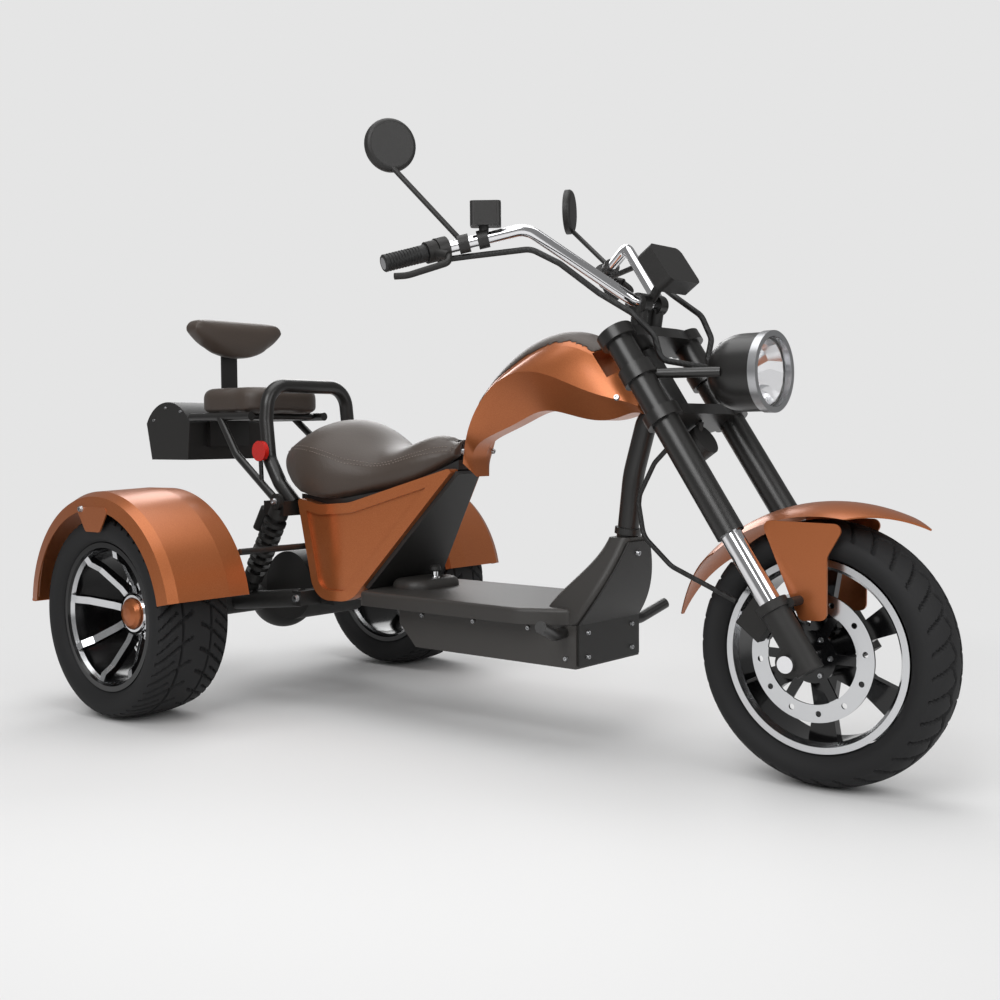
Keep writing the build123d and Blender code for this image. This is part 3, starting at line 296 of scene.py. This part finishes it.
def cut_alloy(name, centre, inner, outer, facing):
    """Gloss black metal, cut bright where its face looks outward between two radii."""
    material, tree, shader, place = blank(name, "0C0C0D", 0.16)
    local = add(tree, "ShaderNodeVectorMath", {0: place, 1: centre}, operation="SUBTRACT")
    flat = add(tree, "ShaderNodeVectorMath", {0: local.outputs[0], 1: (1, 0, 1)}, operation="MULTIPLY")
    radius = add(tree, "ShaderNodeVectorMath", {0: flat.outputs[0]}, operation="LENGTH").outputs["Value"]
    within = add(tree, "ShaderNodeMath", {0: radius, 1: outer}, operation="LESS_THAN")
    beyond = add(tree, "ShaderNodeMath", {0: radius, 1: inner}, operation="GREATER_THAN")
    normal = add(tree, "ShaderNodeNewGeometry").outputs["Normal"]
    across = add(tree, "ShaderNodeSeparateXYZ", {0: normal}).outputs["Y"]
    outward = add(tree, "ShaderNodeMath", {0: across}, operation="ABSOLUTE")
    front = add(tree, "ShaderNodeMath", {0: outward.outputs[0], 1: facing}, operation="GREATER_THAN")
    band = add(tree, "ShaderNodeMath", {0: within.outputs[0], 1: beyond.outputs[0]}, operation="MULTIPLY")
    both = add(tree, "ShaderNodeMath", {0: band.outputs[0], 1: front.outputs[0]}, operation="MULTIPLY")
    cut = both.outputs[0]
    colour = add(tree, "ShaderNodeMix", {0: cut, 6: linear("0C0C0D"), 7: linear("D2D3D5")}, data_type="RGBA")
    rough = add(tree, "ShaderNodeMapRange", {0: cut, 3: 0.16, 4: 0.22}).outputs["Result"]
    wire(tree, shader, {"Base Color": colour.outputs[2], "Metallic": cut, "Roughness": rough})
    return material


def middle(node):
    low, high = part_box(node)
    return (low + high) / 2


front_axle_at = middle("front_tyre")
rear_axle_at = {side: middle("rear_tyre_" + side) for side in ("right", "left")}
chrome = chrome_plate()
alloy = satin_alloy()
casting = cast_alloy()
disc_steel = cut_alloy("front_disc_steel", front_axle_at, 79 * MM, 112 * MM, 0.0)
front_alloy = cut_alloy("front_wheel_alloy", front_axle_at, 146 * MM, 170 * MM, 0.2)
rear_alloy = {side: cut_alloy("rear_wheel_alloy_" + side, at, 44 * MM, 144 * MM, 0.35)
              for side, at in rear_axle_at.items()}
print("metals ready")

# %% [markdown]
# ## Rubber, leather and glass
# The soft and clear surfaces: tyre and grip rubber, vinyl leather, the lens, the mirrors and the red
# reflectors. Their grain is far smaller than any face of the mesh, so it is drawn as a bump.

# %% Rubber, leather and glass


def tyre_rubber():
    """Tyre rubber: dull black, a little grey where light grazes the moulded skin."""
    material, tree, shader, place = blank("tyre_rubber", "1C1C1D", 0.72)
    skin = add(tree, "ShaderNodeTexNoise", {"Vector": place, "Scale": 1 / (2.5 * MM), "Detail": 3.0})
    bump = add(tree, "ShaderNodeBump", {"Height": skin.outputs["Fac"], "Strength": 0.2, "Distance": 0.3 * MM})
    wire(tree, shader, {"Normal": bump.outputs[0], "Specular IOR Level": 0.35})
    return material


def soft_rubber():
    """Grip and hose rubber: a spiral-like ripple and a low sheen."""
    material, tree, shader, place = blank("moulded_rubber", "181818", 0.55)
    ripple = add(tree, "ShaderNodeTexWave", {"Vector": place, "Scale": wave_scale(5)},
                 wave_type="BANDS", bands_direction="DIAGONAL")
    bump = add(tree, "ShaderNodeBump",
               {"Height": ripple.outputs["Fac"], "Strength": 0.6, "Distance": 0.8 * MM})
    wire(tree, shader, {"Normal": bump.outputs[0]})
    return material


def leather(name, colour):
    """Brown vinyl leather: pebble grain and a soft grazing sheen."""
    material, tree, shader, place = blank(name, colour, 0.46)
    pebble = add(tree, "ShaderNodeTexVoronoi", {"Vector": place, "Scale": 1 / (3 * MM)}, feature="SMOOTH_F1")
    bump = add(tree, "ShaderNodeBump",
               {"Height": pebble.outputs["Distance"], "Strength": 0.35, "Distance": 0.5 * MM}, invert=True)
    wire(tree, shader, {"Normal": bump.outputs[0], "Sheen Weight": 0.12, "Sheen Roughness": 0.4})
    return material


def clear_glass():
    """Clear polycarbonate: it shows what is behind and a crisp reflection of the lamps."""
    material, tree, shader, _ = blank("clear_polycarbonate", "FFFFFF", 0.02)
    wire(tree, shader, {"Transmission Weight": 1.0, "IOR": 1.2})
    return material


def red_acrylic():
    """Red acrylic reflector on a black stem: small prisms sparkle inside the colour."""
    material, tree, shader, place = blank("red_acrylic", "C01C14", 0.15)
    prism = add(tree, "ShaderNodeTexVoronoi", {"Vector": place, "Scale": 1 / (3 * MM)}, distance="CHEBYCHEV")
    bump = add(tree, "ShaderNodeBump",
               {"Height": prism.outputs["Distance"], "Strength": 0.5, "Distance": 0.8 * MM})
    height = add(tree, "ShaderNodeSeparateXYZ", {0: place}).outputs["Z"]
    lens = add(tree, "ShaderNodeMath", {0: height, 1: 543 * MM}, operation="GREATER_THAN")
    tint = add(tree, "ShaderNodeMix", {0: lens.outputs[0], 6: linear("161616"), 7: linear("C01C14")},
               data_type="RGBA")
    wire(tree, shader, {"Base Color": tint.outputs[2], "Normal": bump.outputs[0], "Coat Weight": 0.6})
    return material


rubber = tyre_rubber()
grip_rubber = soft_rubber()
seat_leather = leather("brown_leather", "40362F")
glass = clear_glass()
mirror_glass = blank("silvered_glass", "F0F2F4", 0.02, 1.0)[0]
acrylic = red_acrylic()
print("rubber, leather and glass ready")

# %% [markdown]
# ## Dressing the frame
# Every piece of the frame gets the finish that it has on the real trike. Pieces that are rebuilt further
# down are dressed too, so none is left bare if its rebuilt piece is taken out.

# %% Dress the frame's pieces
FINISH = (
    (copper, ("tank_cover", "side_panel_right", "side_panel_left", "front_fender", "rear_fender_right",
              "rear_fender_left", "rear_hub_cap_right", "rear_hub_cap_left")),
    (coat, ("main_frame", "lower_clamp", "upper_clamp", "fork_upper_tubes", "rear_rack", "backrest_post",
            "grab_hoop", "fender_stays", "foot_pegs", "headlight_bracket", "bar_risers", "seat_base",
            "headlight_shell")),
    (abs_black, ("front_cover", "tail_box", "switch_pods", "display", "mirror_right", "mirror_left",
                 "nose_plate", "horn", "brake_reservoir")),
    (abs_grey, ("battery_box", "battery")),
    (deck_abs, ("deck",)),
    (chrome, ("handlebar", "fork_stanchions", "front_axle")),
    (alloy, ("headlight_ring",)),
    (casting, ("fork_lowers", "brake_caliper", "rear_axle_housing", "drive_motor", "shocks", "brake_levers")),
    (disc_steel, ("front_disc",)),
    (front_alloy, ("front_rim",)),
    (rear_alloy["right"], ("rear_rim_right",)),
    (rear_alloy["left"], ("rear_rim_left",)),
    (rubber, ("front_tyre", "rear_tyre_right", "rear_tyre_left")),
    (grip_rubber, ("grips", "harness", "brake_hose")),
    (seat_leather, ("tank_pad", "driver_seat", "passenger_seat", "passenger_backrest")),
    (glass, ("headlight_lens",)),
    (mirror_glass, ("mirror_glass",)),
    (acrylic, ("side_reflectors",)),
)

for material, names in FINISH:
    for name in names:
        nodes[name].data.materials.clear()
        nodes[name].data.materials.append(material)
dressed = sum(len(names) for _, names in FINISH)
print("dressed", dressed, "of", len(nodes), sorted(set(nodes) - {n for _, names in FINISH for n in names}))

# %% [markdown]
# ## Making pieces
# Round pieces are turned on a lathe, so a closed outline is spun about the axle. Places are given in
# millimetres from the rear axle along the trike, from its middle across and from the floor up, as on a
# workshop drawing.

# %% Helpers for pieces


def at(x, y, z):
    """A place on the drawing, in the frame's metres."""
    return Vector((rear_axle_at["right"].x + x * MM, y * MM, z * MM))


def lathe(outline, steps, centre, axis=(0, 1, 0)):
    """A closed outline of (along, radius) pairs in millimetres, spun a full turn."""
    bm = bmesh.new()
    turn = Vector((0, 1, 0)).rotation_difference(Vector(axis)).to_matrix()
    verts = [bm.verts.new(turn @ Vector((radius, along, 0)) * MM) for along, radius in outline]
    edges = [bm.edges.new(pair) for pair in zip(verts, verts[1:] + verts[:1])]
    bmesh.ops.spin(bm, geom=verts + edges, axis=axis, angle=math.tau, steps=steps, use_merge=True)
    bmesh.ops.remove_doubles(bm, verts=bm.verts, dist=0.01 * MM)
    bmesh.ops.recalc_face_normals(bm, faces=bm.faces)
    bmesh.ops.translate(bm, verts=bm.verts, vec=centre)
    return bm


def finish(name, bm, material, body, sharp=35):
    """The mesh as a named piece that rides on a body."""
    mesh = bpy.data.meshes.new(name)
    for face in bm.faces:
        face.smooth = True
    bm.to_mesh(mesh)
    bm.free()
    mesh.set_sharp_from_angle(angle=math.radians(sharp))
    mesh.materials.append(material)
    piece = bpy.data.objects.new(name, mesh)
    bpy.context.collection.objects.link(piece)
    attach(piece, body)
    print(name, len(mesh.polygons), "faces")
    return piece


def bend(start, lean, come, end, steps=8):
    """Points of a Bezier curve, each an (along, radius) pair."""
    points = []
    for t in (i / steps for i in range(steps + 1)):
        shares = ((1 - t) ** 3, 3 * t * (1 - t) ** 2, 3 * t * t * (1 - t), t ** 3)
        corners = (start, lean, come, end)
        points.append(tuple(sum(s * c[k] for s, c in zip(shares, corners)) for k in (0, 1)))
    return points


print("rear axle at x =", round(rear_axle_at["right"].x, 4))

# %% [markdown]
# ## Tyres
# A tyre is moulded round: a crown, two shoulders and two side walls. The section is spun, and the tread
# is then pressed in where a groove's line crosses. The rear tyres have long swept grooves, the front one
# short zigzag blocks. Pressing in a fine spun grid keeps each groove's edge crisp without a boolean cut
# for every block.

# %% Tyres
GROOVE_DEPTH = 6.5
EDGE = 1.2
# Radius, half-width, half-width at the shoulders, drop of the crown, radius and half-width at the rim
FRONT_TYRE = (226, 62, 50, 17, 166, 42)
REAR_TYRE = (219, 90, 81, 10, 159, 73)
FRONT_STEPS, REAR_STEPS = 440, 420


def section(radius, half, shoulder, drop, rim, seat):
    """Outline of the tyre across its width; the crown stands a third of its drop above its own ends."""
    low = radius - drop
    crown = bend((-shoulder, low), (-shoulder / 2, radius + drop / 3), (shoulder / 2, radius + drop / 3),
                 (shoulder, low), steps=52)
    wall = bend((shoulder, low), (half + 5, low - 8), (half + 3, rim + 10), (seat, rim), steps=14)
    return crown + wall[1:] + [(-y, r) for y, r in reversed(wall[1:])]


def press(distance, width):
    """How far a groove is pressed in at a distance from its middle line."""
    return min(1.0, max(0.0, (width / 2 - abs(distance)) / EDGE))


def swept(turn, y, radius):
    """Long grooves that lean forward from the middle to the shoulder, with a short one between each two."""
    count, width = 26, 8.0
    pitch = math.tau * radius / count
    lean = 1.1 * (abs(y) / 80) ** 1.4
    side = 0.5 if y > 0 else 0.0
    phase = (turn / math.tau * count + lean + side) % 1.0
    long_one = press((phase - 0.5) * pitch, width) if abs(y) > 9 else 0.0
    short_one = press(((phase + 0.5) % 1.0 - 0.5) * pitch, width * 0.7) if abs(y) > 46 else 0.0
    ring = press(abs(y) - 34, 4.0)
    return max(long_one, short_one, ring)


def zigzag(turn, y, radius):
    """Two zigzag rings and slanting cuts out to the shoulders."""
    count, width = 34, 7.5
    pitch = math.tau * radius / count
    phase = turn / math.tau * count
    wave = 4 * abs(phase % 1.0 - 0.5) - 1
    ring = press(abs(y) - 14 - 5 * wave, 6.5)
    side = 0.5 if y > 0 else 0.0
    slant = (phase + side + abs(y) / 60) % 1.0
    cut = press((slant - 0.5) * pitch, width) if abs(y) > 12 else 0.0
    return max(ring, cut)


def tyre(name, body, centre, sizes, pattern, steps):
    radius, drop = sizes[0], sizes[3]
    bm = lathe(section(*sizes), steps, (0, 0, 0))
    for vert in bm.verts:
        out = Vector((vert.co.x, 0, vert.co.z))
        if out.length > (radius - drop - 4) * MM:
            depth = GROOVE_DEPTH * pattern(math.atan2(out.z, out.x), vert.co.y / MM, radius)
            vert.co -= out.normalized() * depth * MM
    bmesh.ops.translate(bm, verts=bm.verts, vec=centre)
    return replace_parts(finish(name + "_treaded", bm, rubber, body), name)


tyre("front_tyre", "front_wheel", front_axle_at, FRONT_TYRE, zigzag, FRONT_STEPS)
for side, place in rear_axle_at.items():
    tyre("rear_tyre_" + side, "rear_wheel_" + side, place, REAR_TYRE, swept, REAR_STEPS)

# %% [markdown]
# ## Wheel fittings
# Small turned and hexagonal parts: the bright ring round each copper hub cap, the wheel nuts on the
# hub's slope, the bolts that hold the brake disc and the valve stem. A bolt head is a short cone with
# its top face inset and pushed down for the socket.

# %% Bolts and nuts


def bolt(bm, place, way, radius, sides=12):
    """A bolt head that stands on a place and looks along a way; sizes in millimetres."""
    made = bmesh.ops.create_cone(bm, cap_ends=True, segments=sides, radius1=radius * MM,
                                 radius2=0.78 * radius * MM, depth=0.9 * radius * MM)
    verts = made["verts"]
    top = max({f for v in verts for f in v.link_faces}, key=lambda f: f.calc_center_median().z)
    bmesh.ops.inset_region(bm, faces=[top], thickness=0.3 * radius * MM, depth=0)
    sunk = bmesh.ops.inset_region(bm, faces=[top], thickness=0.02 * radius * MM, depth=-0.45 * radius * MM)
    whole = set(verts) | {v for f in sunk["faces"] for v in f.verts} | set(top.verts)
    whole |= {v for near in list(whole) for e in near.link_edges for v in e.verts}
    turn = Vector((0, 0, 1)).rotation_difference(Vector(way)).to_matrix().to_4x4()
    lift = Matrix.Translation((0, 0, 0.35 * radius * MM))
    bmesh.ops.transform(bm, matrix=Matrix.Translation(place) @ turn @ lift, verts=list(whole))


def on_circle(centre, radius, degrees, across):
    """A place on a circle about a wheel's axle, so far across from the wheel's middle."""
    turn = math.radians(degrees)
    return centre + Vector((radius * math.cos(turn), across, radius * math.sin(turn))) * MM


# The ring's outline and the nuts' circle, from the wheel's middle outward
HUB_RING = ((4.2, 34), (9, 35), (9, 40), (4.2, 43.5))
NUTS, NUT_CIRCLE, NUT_START, NUT_RADIUS = 4, 54, 34, 9
DISC_BOLTS, DISC_CIRCLE, DISC_FACE, DISC_BOLT_RADIUS = 6, 34, -54, 5
VALVE_TURN, VALVE_REACH, VALVE_LENGTH, VALVE_Y = -115, 132, 34, -30

for side, outward in (("right", -1), ("left", 1)):
    place = rear_axle_at[side]
    ring = [(outward * along, radius) for along, radius in HUB_RING]
    finish("hub_ring_" + side, lathe(ring, 64, place), chrome, "rear_wheel_" + side)
    bm = bmesh.new()
    for k in range(NUTS):
        spot = on_circle(place, NUT_CIRCLE, NUT_START + 360 / NUTS * k, outward * 2)
        bolt(bm, spot, (0, outward, 0), NUT_RADIUS, sides=6)
    finish("wheel_nuts_" + side, bm, chrome, "rear_wheel_" + side)
bm = bmesh.new()
for k in range(DISC_BOLTS):
    spot = on_circle(front_axle_at, DISC_CIRCLE, 360 / DISC_BOLTS * k, DISC_FACE)
    bolt(bm, spot, (0, -1, 0), DISC_BOLT_RADIUS)
finish("disc_bolts", bm, alloy, "front_wheel")
bm = bmesh.new()
valve = bmesh.ops.create_cone(bm, cap_ends=True, segments=12, radius1=4 * MM, radius2=3 * MM,
                              depth=VALVE_LENGTH * MM)
tilt = Matrix.Rotation(math.radians(VALVE_TURN), 4, "Y") @ Matrix.Translation((0, 0, VALVE_REACH * MM))
hub = Matrix.Translation(front_axle_at + Vector((0, VALVE_Y * MM, 0)))
bmesh.ops.transform(bm, matrix=hub @ tilt, verts=valve["verts"])
finish("valve_stem", bm, coat, "front_wheel")

# %% [markdown]
# ## Bolts on the body
# Bright bolts hold the battery box, the nose plate, the fenders and the tail box. Each is set down on
# the nearest point of its piece and turned to the surface there, which keeps it flush if the piece
# changes.

# %% Bolts on the body
# Each bolt is given near its place and is set down on the piece it holds: piece, radius, places
BODY_BOLTS = (
    ("battery_box", 5, ((560, -110, 228), (700, -110, 228), (840, -110, 228), (930, -110, 178),
                        (930, -110, 228), (560, 110, 228), (840, 110, 228), (930, 110, 178))),
    ("nose_plate", 5, ((965, -72, 180), (965, 72, 180), (965, -72, 226), (965, 72, 226))),
    ("nose_plate", 6, ((1030, 0, 372),)),
    ("rear_fender_right", 7, ((-40, -520, 448),)),
    ("rear_fender_left", 7, ((-40, 520, 448),)),
    ("tank_cover", 6, ((648, -60, 556), (648, 60, 556), (1020, -70, 668), (1020, 70, 668))),
    ("main_frame", 9, ((250, -190, 246), (250, 190, 246))),
    ("shocks", 8, ((200, -200, 456), (200, 200, 456))),
    ("tail_box", 4, ((-300, -130, 670), (-350, -130, 640), (-240, -130, 660), (-300, 130, 670),
                     (-350, 130, 640), (-240, 130, 660))),
)

bm = bmesh.new()
for node, radius, places in BODY_BOLTS:
    for near in places:
        _, spot, way, _ = nodes[node].closest_point_on_mesh(at(*near))
        bolt(bm, spot, way, radius)
finish("body_bolts", bm, alloy, "frame")

# %% [markdown]
# ## Seats
# The seats are foam under sewn vinyl leather. Each one starts from the frame's cushion, is cut into an
# even skin a little smaller than the cushion, and is blown up as cloth with a gentle pressure, so the
# cover swells between its seams as a stuffed one does. The seams are then drawn in along the shoulder
# and stitched.

# %% Cushions
COVER_PRESSURE, COVER_FRAMES = 4.0, 20


def even_skin(name, node, voxel):
    """A copy of a frame piece with an even grid of faces."""
    bm = bmesh.new()
    bm.from_mesh(nodes[node].data)
    bmesh.ops.remove_doubles(bm, verts=bm.verts, dist=0.05 * MM)
    mesh = bpy.data.meshes.new(name)
    bm.to_mesh(mesh)
    bm.free()
    piece = bpy.data.objects.new(name, mesh)
    bpy.context.collection.objects.link(piece)
    remesh = piece.modifiers.new("even", "REMESH")
    remesh.mode, remesh.voxel_size = "VOXEL", voxel * MM
    keep(piece)
    return piece


def keep(piece):
    """Replace a piece's mesh by what its modifiers make of it."""
    seen = piece.evaluated_get(bpy.context.evaluated_depsgraph_get())
    made = bpy.data.meshes.new_from_object(seen)
    piece.modifiers.clear()
    piece.data = made


def swell(piece, start, limit):
    """Blow the skin up as cloth; no point moves further than the limit."""
    rest = [v.co - v.normal * start * MM for v in piece.data.vertices]
    for vert, place in zip(piece.data.vertices, rest):
        vert.co = place
    if not limit:
        return
    cloth = piece.modifiers.new("cover", "CLOTH")
    cloth.settings.use_pressure = True
    cloth.settings.uniform_pressure_force = COVER_PRESSURE
    cloth.settings.effector_weights.gravity = 0.0
    cloth.point_cache.frame_start, cloth.point_cache.frame_end = 1, COVER_FRAMES
    scene = bpy.context.scene
    for step in range(1, COVER_FRAMES + 1):
        scene.frame_set(step)
    keep(piece)
    scene.frame_set(1)
    for vert, place in zip(piece.data.vertices, rest):
        moved = vert.co - place
        if moved.length > limit * MM:
            vert.co = place + moved.normalized() * limit * MM


def cushion(node, body, voxel, start, limit, seams, depth=2.5, width=5.0):
    """A stuffed seat in place of the frame's cushion, drawn in along its seams."""
    piece = even_skin(node + "_cover", node, voxel)
    swell(piece, start, limit)
    smooth = piece.modifiers.new("soft", "SMOOTH")
    smooth.iterations, smooth.factor = 6, 0.5
    fine = piece.modifiers.new("fine", "SUBSURF")
    fine.levels = fine.render_levels = 1
    keep(piece)
    ways = [vert.normal.copy() for vert in piece.data.vertices]
    for vert, way in zip(piece.data.vertices, ways if seams else ()):
        gap = min(line_gap(vert.co, line) for line in seams) / MM
        vert.co -= way * depth * MM * math.exp(-(gap / width) ** 2)
    for face in piece.data.polygons:
        face.use_smooth = True
    piece.data.materials.clear()
    piece.data.materials.append(seat_leather)
    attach(piece, body)
    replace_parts(piece, node)
    print(piece.name, len(piece.data.polygons), "faces")
    return piece


def line_gap(point, line):
    """Distance from a point to a line of places."""
    best = 1.0
    for start, end in zip(line, line[1:]):
        along = end - start
        share = min(1.0, max(0.0, (point - start).dot(along) / along.length_squared))
        best = min(best, (point - start - along * share).length)
    return best


# Driver seat: the seam that parts the top from the side band, for one side
SEAT_SEAM = ((150, 92, 566), (172, 132, 574), (215, 155, 582), (275, 163, 578), (360, 138, 552),
             (460, 99, 554), (548, 65, 575), (590, 44, 586))
seat_lines = [[at(x, way * y, z) for x, y, z in SEAT_SEAM] for way in (-1, 1)]
seat_lines.append([at(150, y, 566) for y in (-92, -30, 30, 92)])
driver = cushion("driver_seat", "seat_lid", voxel=6, start=2, limit=5, seams=seat_lines)
cushion("passenger_seat", "frame", voxel=6, start=2, limit=6, seams=[])
cushion("passenger_backrest", "frame", voxel=6, start=2, limit=5, seams=[])
cushion("tank_pad", "frame", voxel=2.5, start=0, limit=0, seams=[])

# %% [markdown]
# ## Stitches
# A double row of thread holds the seam of the seat. Each stitch is a stretched ball, set down on the
# finished cover.

# %% Stitches


def stitches(name, cover, lines, body, pitch=7.0, lift=0.6):
    """Short thread stitches along a line, set down on the cover."""
    bm = bmesh.new()
    skin = BVHTree.FromObject(cover, bpy.context.evaluated_depsgraph_get())
    for line in lines:
        for start, end in zip(line, line[1:]):
            along = end - start
            for k in range(max(1, int(along.length / (pitch * MM)))):
                near = start + along.normalized() * (k + 0.5) * pitch * MM
                spot, way, _, _ = skin.find_nearest(near)
                made = bmesh.ops.create_icosphere(bm, subdivisions=1, radius=1 * MM)
                turn = along.normalized().to_track_quat("X", "Z").to_matrix().to_4x4()
                stretch = Matrix.Diagonal((2.4, 0.7, 0.7, 1.0))
                bmesh.ops.transform(bm, matrix=Matrix.Translation(spot + way * lift * MM) @ turn @ stretch,
                                    verts=made["verts"])
    return finish(name, bm, thread, body, sharp=180)


STITCH_RISES = (-7, 7)

thread = blank("grey_thread", "8C8178", 0.7)[0]
stitch_lines = [[place + Vector((0, 0, rise * MM)) for place in line]
                for line in seat_lines for rise in STITCH_RISES]
stitches("seat_stitches", driver, stitch_lines, "seat_lid")

# %% [markdown]
# ## Hand grips
# Rubber grips are moulded with rings for the fingers; they slide over the bar.

# %% Grips
GRIP_END, GRIP_START = (717, 360, 906), (763, 260, 937)
GRIP_LENGTH, GRIP_RADIUS, BAR_FIT = 84, 16, 11.2


def grip_outline():
    outline = [(0, BAR_FIT), (0, GRIP_RADIUS - 2), (2, GRIP_RADIUS)]
    for k in range(11):
        outline += [(6 + 6 * k, GRIP_RADIUS), (7 + 6 * k, GRIP_RADIUS - 1.4), (9 + 6 * k, GRIP_RADIUS - 1.4),
                    (10 + 6 * k, GRIP_RADIUS)]
    return outline + [(GRIP_LENGTH - 6, GRIP_RADIUS), (GRIP_LENGTH, GRIP_RADIUS), (GRIP_LENGTH, BAR_FIT)]


grip_bm = bmesh.new()
for way in (-1, 1):
    end, start = (at(x, way * y, z) for x, y, z in (GRIP_END, GRIP_START))
    part = lathe(grip_outline(), 40, end, (start - end).normalized())
    part_mesh = bpy.data.meshes.new("grip_part")
    part.to_mesh(part_mesh)
    part.free()
    grip_bm.from_mesh(part_mesh)
    bpy.data.meshes.remove(part_mesh)
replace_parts(finish("grips_ribbed", grip_bm, grip_rubber, "steering"), "grips")

# %% [markdown]
# ## Headlight
# A pressed steel bowl with a domed back holds a faceted reflector behind a clear lens. The bowl is
# turned; the reflector is a turned cone whose rings are twisted by half a step, which makes the diamond
# facets.

# %% Headlight bowl and reflector
LAMP_Z, LAMP_SEAT, LAMP_BACK, BOWL_DEPTH = 703, 1290, 1190, 60
BOWL_LONG = LAMP_SEAT - LAMP_BACK
FACETS = 18

dome = bend((0, 24), (0, 52), (30, 68.5), (62, 68.5), steps=14)
floor_at = BOWL_LONG - BOWL_DEPTH
bowl = [(BOWL_LONG, 68.5), (BOWL_LONG, 59.3), (floor_at, 16.5), (floor_at, 0.3), (0, 0.3)]
bowl_bm = lathe(dome + bowl, 72, at(LAMP_BACK, 0, LAMP_Z), (1, 0, 0))
shell = finish("headlight_bowl", bowl_bm, coat, "steering")
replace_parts(shell, "headlight_shell")
rings = [(-1, 57.5), (-20, 43.8), (-38, 31), (-54, 19.5)]
back = [(along, radius - 0.9) for along, radius in rings]
reflector_bm = lathe(back + rings[::-1], FACETS, (0, 0, 0), (1, 0, 0))
for vert in reflector_bm.verts:
    ring = min(range(4), key=lambda k: abs(rings[k][0] - vert.co.x / MM))
    vert.co.rotate(Euler((ring % 2 * math.pi / FACETS, 0, 0)))
bmesh.ops.translate(reflector_bm, verts=reflector_bm.verts, vec=at(LAMP_SEAT, 0, LAMP_Z))
finish("reflector", reflector_bm, chrome, "steering", sharp=1)
bulb = bmesh.new()
bmesh.ops.create_icosphere(bulb, subdivisions=3, radius=13 * MM)
bmesh.ops.translate(bulb, verts=bulb.verts, vec=at(LAMP_SEAT - 40, 0, LAMP_Z))
finish("bulb", bulb, alloy, "steering")

# %% [markdown]
# ## Deck handle
# A turn knob on the hump of the deck locks the battery: a plated stem with a black cap.

# %% Deck handle
KNOB_AT = (500, 0, 292)

stem_bm = lathe([(-2, 0.3), (-2, 10), (3, 10), (4, 6), (14, 6), (14, 0.3)], 32, at(*KNOB_AT), (0, 0, 1))
finish("knob_stem", stem_bm, chrome, "frame")
cap_bm = lathe([(14.2, 0.3), (14.2, 11), (17, 13), (24, 12), (28, 8), (29, 0.3)], 32, at(*KNOB_AT), (0, 0, 1))
finish("knob_cap", cap_bm, abs_black, "frame")
